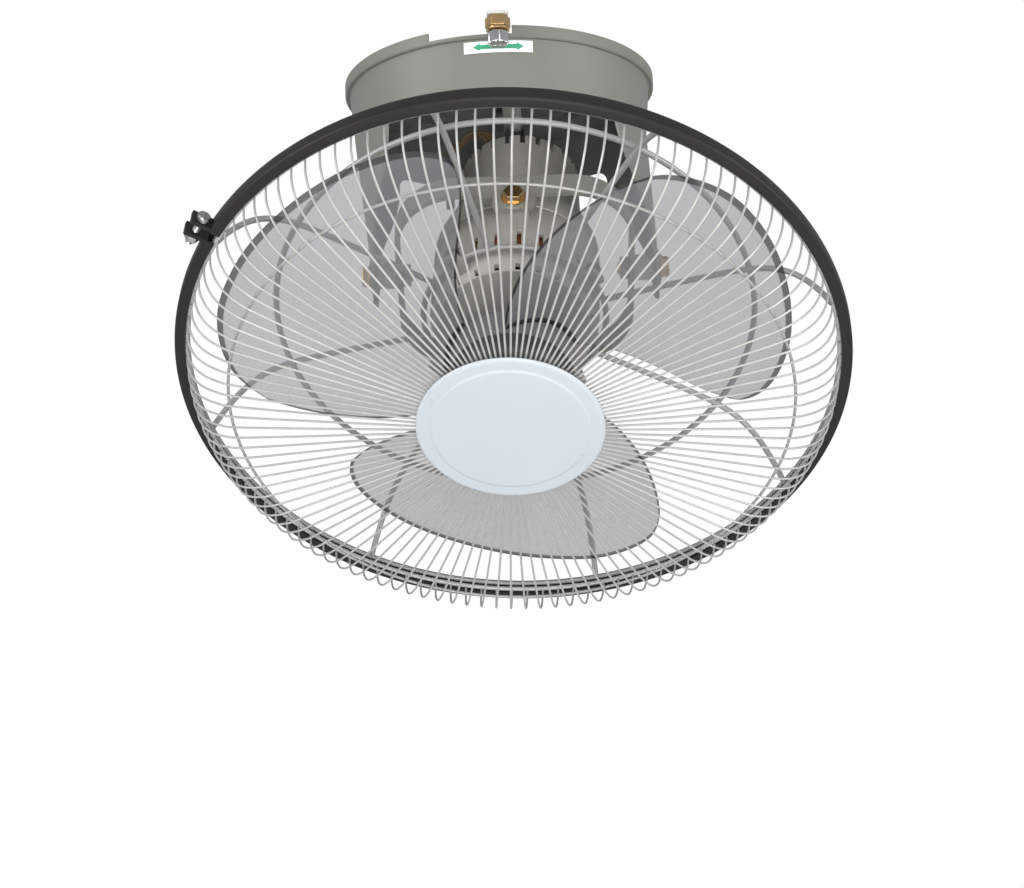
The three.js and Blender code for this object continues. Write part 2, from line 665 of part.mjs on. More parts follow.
function rimBand() {
  const { outer, inner, rear, front, wall } = band;
  const middle = (rear + front) / 2;
  const channel = revolve([
    [inner, -rear], [outer - 2.6, -rear], [outer, -rear - 3.4], [outer, -front + 3.4], [outer - 2.6, -front],
    [inner, -front], [inner, -front + wall], [outer - 2.6, -front + wall], [outer - 2.6, -rear - wall],
    [inner, -rear - wall],
  ], 60);
  const half = band.clampGap / 2;
  const lugs = [-1, 1].map((side) => {
    const y = side * (half + 1.5);
    return box(outer - 3, outer + 13, y - 1.5, y + 1.5, -front + 1, -rear - 1);
  });
  const split = box(inner - 5, outer + 20, -half, half, -front - 5, -rear + 5);
  const screwHole = rodY(2.5 + gap, -30, 30).translate(outer + 6, 0, -middle);
  return cut(join(channel, ...lugs), split, screwHole).rotateZ(degrees(band.clampAzimuth));
}

function clampScrew() {
  const middle = (band.rear + band.front) / 2;
  const face = band.clampGap / 2 + 3 + gap;
  const head = rodY(4.6, face, face + 4, 14);
  const slot = box(-0.6, 0.6, face + 2.8, face + 9, -9, 9);
  return cut(join(head, rodY(2.5, -face - 8, face + 1)), slot)
    .translate(band.outer + 6, 0, -middle).rotateZ(degrees(band.clampAzimuth));
}

function clampNut() {
  const middle = (band.rear + band.front) / 2;
  const face = band.clampGap / 2 + 3 + gap;
  return cut(rodY(5, -face - 4.5, -face, 6), rodY(2.5 + gap, -40, 40))
    .translate(band.outer + 6, 0, -middle).rotateZ(degrees(band.clampAzimuth));
}

function badgeScrewSpots() {
  return around(badge.screwCount, (i, a) => {
    const angle = a + Math.PI / 6;
    return [badge.screwCircle * Math.cos(angle), badge.screwCircle * Math.sin(angle)];
  });
}

function frontBadge() {
  const disc = revolve([
    [0, -badge.front], [52, -badge.front], [53, -badge.front + 0.8], [60, -badge.front + 0.8],
    [badge.radius, -badge.front + 2], [badge.radius, -badge.back], [0, -badge.back],
  ], 44);
  const bosses = badgeScrewSpots().map(([x, y]) => rod(3.6, -badge.back - 1,
    -(guard.plateAt + guard.plateThickness + gap)).translate(x, y, 0));
  const holes = badgeScrewSpots().map(([x, y]) => rod(1.5 + gap, -badge.back - 1, -150, 8)
    .translate(x, y, 0));
  return cut(join(disc, ...bosses), ...holes);
}

function badgeScrew(x, y) {
  const back = -guard.plateAt + gap;
  return join(rod(3.2, back, back + 2), rod(1.5, -badge.back + 0.5, back + 1, 8)).translate(x, y, 0);
}

// ---- assembly ----
const fan = new THREE.Group();

const housing = new THREE.Group();
housing.add(part('ceiling_plate', ceilingPlate(), paleGrey));
housing.add(part('drum_housing', drumHousing(), greyPaint));
housing.add(part('arrow_label', arrowLabel(), labelWhite));
mountBoltSpots().forEach(([x, y], i) => housing.add(part(`mount_bolt_${i + 1}`, mountBolt(x, y), steel)));
housing.add(part('centre_bearing', centreBearing(), nylon));
housing.add(part('thumb_screw', thumbScrew(), chrome));
housing.add(part('lock_washer', lockWasher(), brass));
housing.add(part('lock_nut', lockNut(), brass));
for (const [side, name] of [[-1, 'left'], [1, 'right']]) {
  housing.add(part(`ear_bolt_${name}`, earBolt(side), brass));
  housing.add(part(`ear_bush_${name}`, earBush(side), nylon));
  housing.add(part(`ear_nut_${name}`, earNut(side), steel));
}
fan.add(housing);

const ringGroup = new THREE.Group();
ringGroup.position.set(gimbal.x, 0, gimbal.z);
ringGroup.rotation.x = degrees(gimbal.tilt);
ringGroup.add(part('gimbal_ring', gimbalRing(), greyPaint));
fan.add(ringGroup);

const sidePivot = new THREE.Group();
sidePivot.position.set(0, 0, -gimbal.pivotDrop);
sidePivot.rotation.y = degrees(gimbal.sideTilt);
ringGroup.add(sidePivot);

const head = new THREE.Group();
head.position.set(0, 0, gimbal.pivotDrop);
sidePivot.add(head);
head.add(part('rear_cover', rearCover(), paleGrey));
head.add(part('front_cover', frontCover(), paleGrey));
head.add(part('front_pivot_bolt', pivotBolt(-1), brass));
head.add(part('rear_pivot_bolt', pivotBolt(1), brass));
head.add(part('stator', stator(), copper));
head.add(part('front_bearing', bearing(motor.frontEnd - 3), steel));
head.add(part('rear_bearing', bearing(-65 + 5), steel));
head.add(part('gearbox', gearbox(), steel));
head.add(part('motor_wires', motorWires(), brownWire));
head.add(part('rear_guard', rearGuard(), paleGrey));
guardScrewAzimuths().forEach((a, i) => head.add(part(`guard_screw_${i + 1}`, guardScrew(a), steel)));
head.add(part('front_guard', frontGuard(), paleGrey));
head.add(part('stiffening_ring', stiffeningRing(), paleGrey));
head.add(part('rim_band', rimBand(), darkBand));
head.add(part('clamp_screw', clampScrew(), steel));
head.add(part('clamp_nut', clampNut(), steel));
head.add(part('badge', frontBadge(), badgeWhite));
badgeScrewSpots().forEach(([x, y], i) => head.add(part(`badge_screw_${i + 1}`, badgeScrew(x, y), steel)));

const rotor = new THREE.Group();
rotor.add(part('motor_shaft', motorShaft(), steel));
rotor.add(part('rotor_core', rotorCore(), steel));
rotor.add(part('blade_hub', bladeHub(), smoke));
for (let i = 0; i < blade.count; i += 1) rotor.add(part(`blade_${i + 1}`, bladeSolid(i), smoke));
rotor.add(part('spinner', spinner(), black));
head.add(rotor);

const crankGroup = new THREE.Group();
crankGroup.rotation.z = degrees(crank.azimuth);
crankGroup.add(part('crank_shaft', crankShaft(), steel));
crankGroup.add(part('crank_arm', crankArm(), steel));
crankGroup.add(part('crank_bush', crankBush(), nylon));
head.add(crankGroup);

export default fan;
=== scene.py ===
import math

import bmesh
import bpy
from mathutils import Matrix, Vector


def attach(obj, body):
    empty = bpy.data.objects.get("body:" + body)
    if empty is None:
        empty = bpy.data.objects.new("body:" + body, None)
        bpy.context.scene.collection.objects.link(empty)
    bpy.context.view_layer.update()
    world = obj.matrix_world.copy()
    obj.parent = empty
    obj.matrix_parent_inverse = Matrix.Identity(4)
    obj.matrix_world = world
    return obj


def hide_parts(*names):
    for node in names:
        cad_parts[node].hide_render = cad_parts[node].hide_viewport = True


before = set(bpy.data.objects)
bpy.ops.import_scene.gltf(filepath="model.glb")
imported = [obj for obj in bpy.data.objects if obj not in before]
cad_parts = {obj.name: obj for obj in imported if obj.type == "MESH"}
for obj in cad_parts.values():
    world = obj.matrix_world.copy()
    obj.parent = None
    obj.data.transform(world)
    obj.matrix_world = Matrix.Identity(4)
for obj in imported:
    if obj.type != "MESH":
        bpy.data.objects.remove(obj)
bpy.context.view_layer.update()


turn = 2 * math.pi

# Lengths are in millimetres, and build() turns them into metres.
gap = 0.3  # clearance between two pieces
boltBore = 2.8
pivotBore = 4.3

# The head hangs from the gimbal centre, at the tilt it has at rest.
gimbal = {"x": 7.0, "z": -142.3, "tilt": -33.57, "sideTilt": 2.95, "pivotDrop": 15.0}


def shift(x, y, z):
    return Matrix.Translation(Vector((x, y, z)) * 0.001)


housingPlace = Matrix.Identity(4)
ringTilt = Matrix.Rotation(math.radians(gimbal["tilt"]), 4, "X")
ringPlace = shift(gimbal["x"], 0, gimbal["z"]) @ ringTilt
headPlace = (
    ringPlace
    @ shift(0, 0, -gimbal["pivotDrop"])
    @ Matrix.Rotation(math.radians(gimbal["sideTilt"]), 4, "Y")
    @ shift(0, 0, gimbal["pivotDrop"])
)


# ---- shapes as (points, faces) ----
def lathe(corners, segments=96):
    points, faces, rows = [], [], []
    for r, z in corners:
        if r <= 1e-6:
            rows.append([len(points)])
            points.append((0.0, 0.0, z))
        else:
            rows.append(list(range(len(points), len(points) + segments)))
            for i in range(segments):
                a = turn * i / segments
                points.append((r * math.cos(a), r * math.sin(a), z))
    closed = corners[0][0] > 1e-6 or corners[-1][0] > 1e-6
    pairs = [(k, k + 1) for k in range(len(rows) - 1)]
    if closed:
        pairs.append((len(rows) - 1, 0))
    for k, m in pairs:
        one, two = rows[k], rows[m]
        if len(one) == 1 and len(two) == 1:
            continue
        for i in range(segments):
            j = (i + 1) % segments
            if len(one) == 1:
                faces.append((one[0], two[j], two[i]))
            elif len(two) == 1:
                faces.append((one[i], one[j], two[0]))
            else:
                faces.append((one[i], one[j], two[j], two[i]))
    return points, faces


def prism(outline, bottom, top):
    count = len(outline)
    points = [(x, y, bottom) for x, y in outline] + [(x, y, top) for x, y in outline]
    faces = [tuple(range(count - 1, -1, -1)), tuple(range(count, 2 * count))]
    faces += [(i, (i + 1) % count, count + (i + 1) % count, count + i) for i in range(count)]
    return points, faces


def circle(radius, segments=32, x=0.0, y=0.0, phase=0.0):
    steps = [turn * i / segments + phase for i in range(segments)]
    return [(x + radius * math.cos(a), y + radius * math.sin(a)) for a in steps]


def block(x0, x1, y0, y1, z0, z1):
    return prism([(x0, y0), (x1, y0), (x1, y1), (x0, y1)], z0, z1)


def turned(shape, matrix):
    points, faces = shape
    return [tuple(matrix @ Vector(p)) for p in points], faces


def alongX(shape):
    return turned(shape, Matrix.Rotation(math.pi / 2, 4, "Y"))


def alongY(shape):
    return turned(shape, Matrix.Rotation(-math.pi / 2, 4, "X"))


def moved(shape, x, y, z):
    return turned(shape, Matrix.Translation((x, y, z)))


def spun(shape, angle):
    return turned(shape, Matrix.Rotation(angle, 4, "Z"))


def together(*shapes):
    points, faces = [], []
    for somePoints, someFaces in shapes:
        base = len(points)
        points += somePoints
        faces += [tuple(base + i for i in f) for f in someFaces]
    return points, faces


def smoothPath(stations, steps=4):
    p = [Vector(s) for s in stations]
    out = []
    for k in range(len(p) - 1):
        before = p[k - 1] if k else p[k] * 2 - p[k + 1]
        after = p[k + 2] if k + 2 < len(p) else p[k + 1] * 2 - p[k]
        for i in range(steps):
            t = i / steps
            a = 2 * p[k]
            b = p[k + 1] - before
            c = 2 * before - 5 * p[k] + 4 * p[k + 1] - after
            d = 3 * p[k] - before - 3 * p[k + 1] + after
            out.append((a + b * t + c * t * t + d * t * t * t) / 2)
    out.append(p[-1])
    return out


def tubeAlong(path, radius, sides=8, closed=False):
    path = [Vector(p) for p in path]
    count = len(path)
    points, faces = [], []
    side = None
    for k in range(count):
        before = path[k - 1] if k or closed else path[k]
        after = path[(k + 1) % count] if k + 1 < count or closed else path[k]
        along = (after - before).normalized()
        if side is None:
            side = along.orthogonal().normalized()
        side = (side - along * side.dot(along)).normalized()
        other = along.cross(side)
        for i in range(sides):
            a = turn * i / sides
            points.append(tuple(path[k] + (side * math.cos(a) + other * math.sin(a)) * radius))
    for k in range(count if closed else count - 1):
        m = (k + 1) % count
        for i in range(sides):
            j = (i + 1) % sides
            faces.append((k * sides + i, k * sides + j, m * sides + j, m * sides + i))
    if not closed:
        faces.append(tuple(range(sides - 1, -1, -1)))
        faces.append(tuple(range((count - 1) * sides, count * sides)))
    return points, faces


def ringWire(radius, z, wireRadius, segments=180, sides=10):
    corners = [
        (radius + wireRadius * math.cos(turn * i / sides), z + wireRadius * math.sin(turn * i / sides))
        for i in range(sides)
    ]
    return lathe(corners, segments)


def headPoint(radius, azimuth, ahead):
    a = math.radians(azimuth)
    return Vector((radius * math.cos(a), radius * math.sin(a), -ahead))


def hexHead(radius, height, chamfer=0.9):
    top = circle(radius, 6)
    rim = circle(radius - chamfer * 0.6, 6)
    points = [(x, y, 0.0) for x, y in top] + [(x, y, height - chamfer) for x, y in top]
    points += [(x, y, height) for x, y in rim]
    faces = [tuple(range(5, -1, -1)), tuple(range(12, 18))]
    for level in (0, 6):
        faces += [(level + i, level + (i + 1) % 6, level + 6 + (i + 1) % 6, level + 6 + i) for i in range(6)]
    return points, faces


# ---- objects ----
def build(name, shape, place):
    points, faces = shape
    mesh = bpy.data.meshes.new(name)
    mesh.from_pydata([tuple(place @ (Vector(p) * 0.001)) for p in points], [], faces)
    mesh.validate()
    obj = bpy.data.objects.new(name, mesh)
    bpy.context.scene.collection.objects.link(obj)
    return obj


def recalculated(obj):
    work = bmesh.new()
    work.from_mesh(obj.data)
    bmesh.ops.remove_doubles(work, verts=work.verts, dist=1e-7)
    bmesh.ops.recalc_face_normals(work, faces=work.faces)
    work.to_mesh(obj.data)
    work.free()
    obj.data.validate()
    return obj


def bake(obj):
    graph = bpy.context.evaluated_depsgraph_get()
    fresh = bpy.data.meshes.new_from_object(obj.evaluated_get(graph))
    obj.modifiers.clear()
    obj.data = fresh
    return obj


def carve(obj, shape, place, operation="DIFFERENCE"):
    cutter = recalculated(build("cutter", shape, place))
    step = obj.modifiers.new("carve", "BOOLEAN")
    step.operation = operation
    step.solver = "EXACT"
    step.use_self = operation == "DIFFERENCE"
    step.object = cutter
    bake(obj)
    bpy.data.objects.remove(cutter)
    return obj


def softEdges(obj, width, segments=2, angle=32):
    step = obj.modifiers.new("edge", "BEVEL")
    step.width = width * 0.001
    step.segments = segments
    step.limit_method = "ANGLE"
    step.angle_limit = math.radians(angle)
    return bake(obj)


def piece(obj, body, material, replaced=(), smooth=38):
    recalculated(obj)
    obj.data.materials.clear()
    obj.data.materials.append(material)
    obj.data.polygons.foreach_set("use_smooth", [True] * len(obj.data.polygons))
    obj.data.set_sharp_from_angle(angle=math.radians(smooth))
    normals = obj.modifiers.new("normals", "WEIGHTED_NORMAL")
    normals.keep_sharp = True
    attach(obj, body)
    if replaced:
        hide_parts(*replaced)
    return obj


# ---- finishes ----
dustColor = (150, 146, 136)


def linear(r, g, b):
    return tuple(((c / 255 + 0.055) / 1.055) ** 2.4 if c > 10 else c / 255 / 12.92 for c in (r, g, b))


def finish(name, rgb, rough, metal=0.0, grain=60.0, mottle=0.06, bump=0.02, roughSpread=0.08,
           alpha=1.0, coat=0.0, stretch=(1, 1, 1), dust=0.0, shine=0.5):
    material = bpy.data.materials.new(name)
    material.use_nodes = True
    tree = material.node_tree
    shader = tree.nodes["Principled BSDF"]
    base = linear(*rgb)
    shader.inputs["Metallic"].default_value = metal
    shader.inputs["Alpha"].default_value = alpha
    shader.inputs["Specular IOR Level"].default_value = shine
    shader.inputs["Coat Weight"].default_value = coat
    shader.inputs["Coat Roughness"].default_value = 0.12
    place = tree.nodes.new("ShaderNodeTexCoord")
    mapping = tree.nodes.new("ShaderNodeMapping")
    mapping.inputs["Scale"].default_value = stretch
    tree.links.new(place.outputs["Object"], mapping.inputs["Vector"])

    def noiseAt(scale, detail):
        texture = tree.nodes.new("ShaderNodeTexNoise")
        texture.inputs["Scale"].default_value = scale
        texture.inputs["Detail"].default_value = detail
        tree.links.new(mapping.outputs["Vector"], texture.inputs["Vector"])
        return texture

    broad = noiseAt(grain, 4.0)
    ramp = tree.nodes.new("ShaderNodeValToRGB")
    ramp.color_ramp.elements[0].position = 0.3
    ramp.color_ramp.elements[1].position = 0.7
    ramp.color_ramp.elements[0].color = (*[c * (1 - mottle) for c in base], 1)
    ramp.color_ramp.elements[1].color = (*[min(1, c * (1 + mottle)) for c in base], 1)
    tree.links.new(broad.outputs["Fac"], ramp.inputs["Fac"])
    color = ramp.outputs["Color"]
    if dust:
        up = tree.nodes.new("ShaderNodeNewGeometry")
        split = tree.nodes.new("ShaderNodeSeparateXYZ")
        tree.links.new(up.outputs["Normal"], split.inputs["Vector"])
        amount = tree.nodes.new("ShaderNodeMapRange")
        amount.inputs["From Min"].default_value = 0.3
        amount.inputs["From Max"].default_value = 1.0
        amount.inputs["To Max"].default_value = dust
        tree.links.new(split.outputs["Z"], amount.inputs["Value"])
        mix = tree.nodes.new("ShaderNodeMix")
        mix.data_type = "RGBA"
        mix.inputs["B"].default_value = (*linear(*dustColor), 1)
        tree.links.new(amount.outputs["Result"], mix.inputs["Factor"])
        tree.links.new(color, mix.inputs["A"])
        color = mix.outputs["Result"]
    tree.links.new(color, shader.inputs["Base Color"])
    fine = noiseAt(grain * 14, 3.0)
    spread = tree.nodes.new("ShaderNodeMapRange")
    spread.inputs["To Min"].default_value = max(0.02, rough - roughSpread)
    spread.inputs["To Max"].default_value = min(1.0, rough + roughSpread)
    tree.links.new(broad.outputs["Fac"], spread.inputs["Value"])
    tree.links.new(spread.outputs["Result"], shader.inputs["Roughness"])
    relief = tree.nodes.new("ShaderNodeBump")
    relief.inputs["Strength"].default_value = bump * 10
    relief.inputs["Distance"].default_value = 0.0002
    tree.links.new(fine.outputs["Fac"], relief.inputs["Height"])
    tree.links.new(relief.outputs["Normal"], shader.inputs["Normal"])
    return material


drumPaint = finish("drumPaint", (122, 123, 116), 0.5, metal=0.1, grain=25, mottle=0.03, bump=0.03, dust=0.3,
                   shine=0.35)
motorPaint = finish("motorPaint", (200, 198, 190), 0.45, metal=0.15, grain=40, mottle=0.05, bump=0.04,
                    dust=0.2)
# Painted shade: the motor paint darkened for the front cover, standing in for the shade on its lower face.
shadedCoverPaint = finish("shadedCoverPaint", (168, 166, 159), 0.45, metal=0.15, grain=40, mottle=0.05, bump=0.04,
                    dust=0.2)
ringPaint = finish("ringPaint", (140, 139, 132), 0.42, metal=0.2, grain=40, mottle=0.05, bump=0.03)
wirePaint = finish("wirePaint", (176, 175, 172), 0.38, metal=0.25, grain=80, mottle=0.06, bump=0.02)
spokePaint = finish("spokePaint", (160, 159, 156), 0.4, metal=0.25, grain=80, mottle=0.06, bump=0.02)
bandDark = finish("bandDark", (36, 35, 33), 0.45, grain=50, mottle=0.08, bump=0.03, shine=0.2)
bladeSmoke = finish("bladeSmoke", (135, 135, 138), 0.33, grain=18, mottle=0.03, bump=0.001, alpha=0.434)
# Painted shade: a darker, less clear finish for the blade edges, standing in for the darkening seen through
# the edge thickness of the smoky sheet.
bladeEdgeShade = finish("bladeEdgeShade", (30, 30, 34), 0.25, grain=60, mottle=0.05, bump=0.01, alpha=0.8)
hubSmoke = finish("hubSmoke", (120, 120, 122), 0.25, grain=30, mottle=0.04, bump=0.01, alpha=0.8)
spinnerDark = finish("spinnerDark", (52, 52, 52), 0.45, grain=60, mottle=0.1, bump=0.03)
badgeGloss = finish("badgeGloss", (184, 191, 197), 0.3, grain=20, mottle=0.015, bump=0.006, coat=0.3)
chromeBright = finish("chromeBright", (205, 206, 205), 0.14, metal=1.0, grain=90, mottle=0.04, bump=0.01,
                      roughSpread=0.05)
brassPlain = finish("brassPlain", (206, 172, 122), 0.3, metal=1.0, grain=90, mottle=0.14, bump=0.03)
zincSteel = finish("zincSteel", (170, 170, 166), 0.34, metal=1.0, grain=120, mottle=0.12, bump=0.03)
nylonPale = finish("nylonPale", (206, 203, 194), 0.55, grain=70, mottle=0.05, bump=0.03)
wireBrown = finish("wireBrown", (96, 74, 48), 0.5, grain=90, mottle=0.12, bump=0.03)
rubberBlack = finish("rubberBlack", (36, 36, 36), 0.6, grain=90, mottle=0.12, bump=0.04)
copperWound = finish("copperWound", (150, 88, 48), 0.4, metal=0.8, grain=300, mottle=0.3, bump=0.1,
                     stretch=(1, 1, 6))
labelWhite = finish("labelWhite", (236, 242, 238), 0.45, grain=60, mottle=0.02, bump=0.01)
labelGreen = finish("labelGreen", (60, 160, 120), 0.45, grain=60, mottle=0.06, bump=0.01)
print("finishes made")

# ---- ceiling plate ----
plate = {"radius": 70.0, "thickness": 2.0, "armHalf": 7.0, "armX": 0.5, "reach": 125.0, "studReach": 117.6,
         "boltCircle": 50.0, "steps": 96, "edge": 0.25}


def mountBores():
    r = plate["boltCircle"]
    angles = [turn * i / 3 + math.pi / 2 for i in range(3)]
    return [circle(boltBore, 24, r * math.cos(a), r * math.sin(a)) for a in angles]


def ceilingPlate():
    p = plate
    start = math.asin(p["armHalf"] / p["radius"])
    outline = []
    for i in range(p["steps"] + 1):
        a = -math.pi / 2 + start + (turn - 2 * start) * i / p["steps"]
        aside = p["armX"] if i in (0, p["steps"]) else 0
        outline.append((p["radius"] * math.cos(a) + aside, p["radius"] * math.sin(a)))
    left, right = p["armX"] - p["armHalf"], p["armX"] + p["armHalf"]
    end = -p["reach"]
    outline += [(left, end + 2), (left + 0.6, end + 0.6), (left + 2, end)]
    outline += [(right - 2, end), (right - 0.6, end + 0.6), (right, end + 2)]
    obj = recalculated(build("ceilingPlate", prism(outline, -p["thickness"], 0), housingPlace))
    for bore in mountBores() + [circle(boltBore, 24, p["armX"], -p["studReach"])]:
        carve(obj, prism(bore, -5, 5), housingPlace)
    softEdges(obj, p["edge"])
    piece(obj, "housing", motorPaint, ["ceiling_plate"])


# ---- drum ----
drum = {
    "collarRadius": 109.5, "collarTop": -3.8, "collarBottom": -12.3, "sheet": 1.6, "wallTop": 106.0,
    "wallBottom": 103.0, "wallEnd": -46.8, "notchFrom": -25.1, "notchTo": 5.2, "notchBottom": -9.8,
    "deckTop": -10.0, "dome": 76.0, "domeTop": -2.3, "earRadius": 99.7, "earBottom": -164.5,
    "earTopHalf": 66.0, "earCorner": 11.0, "neckHalf": 27.0, "neck": -132.0, "padRadius": 11.5, "padOut": 1.0,
    "padIn": 1.6, "through": 140.0, "edge": 0.35,
}


def bezier(p0, p1, p2, p3, count=14):
    out = []
    for i in range(1, count + 1):
        t = i / count
        w = ((1 - t) ** 3, 3 * t * (1 - t) ** 2, 3 * t * t * (1 - t), t ** 3)
        out.append(tuple(sum(k * p[d] for k, p in zip(w, (p0, p1, p2, p3))) for d in (0, 1)))
    return out


def bend(p0, p1, p2, count=8):
    return bezier(p0, tuple(p0[d] + (p1[d] - p0[d]) * 2 / 3 for d in (0, 1)),
                  tuple(p2[d] + (p1[d] - p2[d]) * 2 / 3 for d in (0, 1)), p2, count)


def earOutline():
    d = drum
    wide, low = 130.0, gimbal["z"]
    rnd = low - d["earBottom"]
    half, corner, end = d["earTopHalf"], d["earCorner"], d["wallEnd"]
    neck = (-d["neckHalf"], d["neck"])
    knee = (-rnd * math.sqrt(0.5), low - rnd * math.sqrt(0.5))
    left = [(-wide, 20), (-wide, end), (-half - corner, end)]
    left += bend(left[-1], (-half, end), (-half, end - corner))
    left += bezier(left[-1], (-half + 6, -95), (-d["neckHalf"] - 4, -112), neck)
    left += bend(neck, (-rnd, low), knee)
    left += bend(knee, (-rnd * 0.4, d["earBottom"]), (0, d["earBottom"]))
    return left + [(-x, z) for x, z in reversed(left[:-1])]


def wallRadius(z):
    d = drum
    part = (d["collarBottom"] - z) / (d["collarBottom"] - d["wallEnd"])
    return d["wallTop"] + (d["wallBottom"] - d["wallTop"]) * part


def earFace():
    d = drum
    part = (d["wallEnd"] - gimbal["z"]) / (d["wallEnd"] - d["earBottom"])
    return d["wallBottom"] + (d["earRadius"] - d["wallBottom"]) * part


def drumHousing():
    d = drum
    s = d["sheet"]
    outer, inner = [], []
    for i in range(7):
        t = i / 6
        z = d["wallEnd"] + (d["earBottom"] - d["wallEnd"]) * t
        r = d["wallBottom"] + (d["earRadius"] - d["wallBottom"]) * t
        outer.append((r, z))
        inner.insert(0, (r - s, z))
    under = d["domeTop"] - s
    profile = [
        (0, d["domeTop"]), (d["dome"] - 2.5, d["domeTop"]), (d["dome"] - 0.7, d["domeTop"] - 0.7),
        (d["dome"], d["domeTop"] - 2.5), (d["dome"], d["deckTop"]), (d["collarRadius"] - s, d["deckTop"]),
        (d["collarRadius"] - s, d["collarTop"] - 0.4), (d["collarRadius"] - s + 0.4, d["collarTop"]),
        (d["collarRadius"] - 0.4, d["collarTop"]), (d["collarRadius"], d["collarTop"] - 0.4),
        (d["collarRadius"], d["collarBottom"] + 0.8), (d["collarRadius"] - 0.8, d["collarBottom"]),
        (d["wallTop"] + 0.5, d["collarBottom"] - 0.1), (d["wallTop"], d["collarBottom"] - 0.9),
        *outer, *inner, (d["wallTop"] - s, d["deckTop"] - s), (d["dome"] - s, d["deckTop"] - s),
        (d["dome"] - s, under - 1.5), (d["dome"] - s - 1.5, under), (0, under),
    ]
    obj = recalculated(build("drumHousing", lathe(profile, 180), housingPlace))
    sideView = [(z, y) for y, z in earOutline()]
    swapXZ = Matrix(((0, 0, 1, 0), (0, 1, 0, 0), (1, 0, 0, 0), (0, 0, 0, 1)))
    through = d["through"]
    carve(obj, turned(prism(sideView, -through, through), swapXZ), housingPlace, "INTERSECT")
    for v in obj.data.vertices:  # the ears lean over to the gimbal centre
        t = (d["wallEnd"] * 0.001 - v.co.z) / ((d["wallEnd"] - gimbal["z"]) * 0.001)
        v.co.x += gimbal["x"] * 0.001 * min(1, max(0, t))
    face = earFace()
    for side in (-1, 1):
        pad = alongX(prism(circle(d["padRadius"], 48), face - s - d["padIn"], face + d["padOut"]))
        pad = moved(spun(pad, math.pi if side < 0 else 0), gimbal["x"], 0, gimbal["z"])
        carve(obj, pad, housingPlace, "UNION")
    hole = moved(alongX(prism(circle(pivotBore, 32), -through, through)), gimbal["x"], 0, gimbal["z"])
    carve(obj, hole, housingPlace)
    start, stop = (math.radians(-90 + d[k]) for k in ("notchFrom", "notchTo"))
    ring = [start + (stop - start) * i / 24 for i in range(25)]
    far, near = d["collarRadius"] + 3, d["collarRadius"] - s - 1
    outline = [(far * math.cos(a), far * math.sin(a)) for a in ring]
    outline += [(near * math.cos(a), near * math.sin(a)) for a in reversed(ring)]
    carve(obj, prism(outline, d["notchBottom"], d["collarTop"] + 3), housingPlace)
    for bore in mountBores():
        carve(obj, prism(bore, -9, 5), housingPlace)
    softEdges(obj, d["edge"], angle=40)
    piece(obj, "housing", drumPaint, ["drum_housing"])


# ---- arrow label ----
label = {"left": -22.6, "right": 23.4, "top": -13.6, "bottom": -21.4, "across": 24, "thickness": 0.25,
         "arrowHalf": 17.0, "arrowSteps": 40, "arrowLift": 0.3, "shaft": 1.5, "head": 2.9, "headLength": 5}


def onWall(x, z, lift):
    r = wallRadius(z) + gap + lift
    return (x, -math.sqrt(max(0, r * r - x * x)), z)


def arrowLabel():
    p = label
    across = p["across"]
    points, faces = [], []
    for lift in (0.0, p["thickness"]):
        for i in range(across + 1):
            x = p["left"] + (p["right"] - p["left"]) * i / across
            points += [onWall(x, p["bottom"], lift), onWall(x, p["top"], lift)]
    layer = 2 * (across + 1)
    for i in range(across):
        a = 2 * i
        faces += [(a, a + 2, a + 3, a + 1), (layer + a, layer + a + 1, layer + a + 3, layer + a + 2)]
        faces += [(a, layer + a, layer + a + 2, a + 2), (a + 1, a + 3, layer + a + 3, layer + a + 1)]
    faces += [(0, 1, layer + 1, layer), (layer - 2, 2 * layer - 2, 2 * layer - 1, layer - 1)]
    piece(build("arrowLabel", (points, faces), housingPlace), "housing", labelWhite, ["arrow_label"])
    centre, middle = (p["left"] + p["right"]) / 2, (p["top"] + p["bottom"]) / 2
    tip, length, steps = p["arrowHalf"], p["headLength"], p["arrowSteps"]
    halves = []
    for i in range(steps + 1):
        x = -tip + 2 * tip * i / steps
        h = p["shaft"] if abs(x) <= tip - length else p["head"] * (tip - abs(x)) / length
        halves.append((x, h))
    points = [onWall(centre + x, middle - h, p["arrowLift"]) for x, h in halves]
    points += [onWall(centre + x, middle + h, p["arrowLift"]) for x, h in halves]
    faces = [(i, i + 1, steps + 2 + i, steps + 1 + i) for i in range(steps)]
    arrow = build("labelArrow", (points, faces), housingPlace)
    piece(arrow, "housing", labelGreen)


# ---- thumb screw, washer and nut ----
lock = {"x": 0.5, "y": -117.6, "radius": 6.7, "top": -12.0, "bottom": -21.6, "teeth": 36, "toothDepth": 0.45,
        "stud": 2.5, "pitch": 0.8, "slotHalf": 0.7, "slotDepth": 1.4, "crossDepth": 1.0, "washer": 7.7,
        "nut": 8.5, "nutHeight": 7.2}


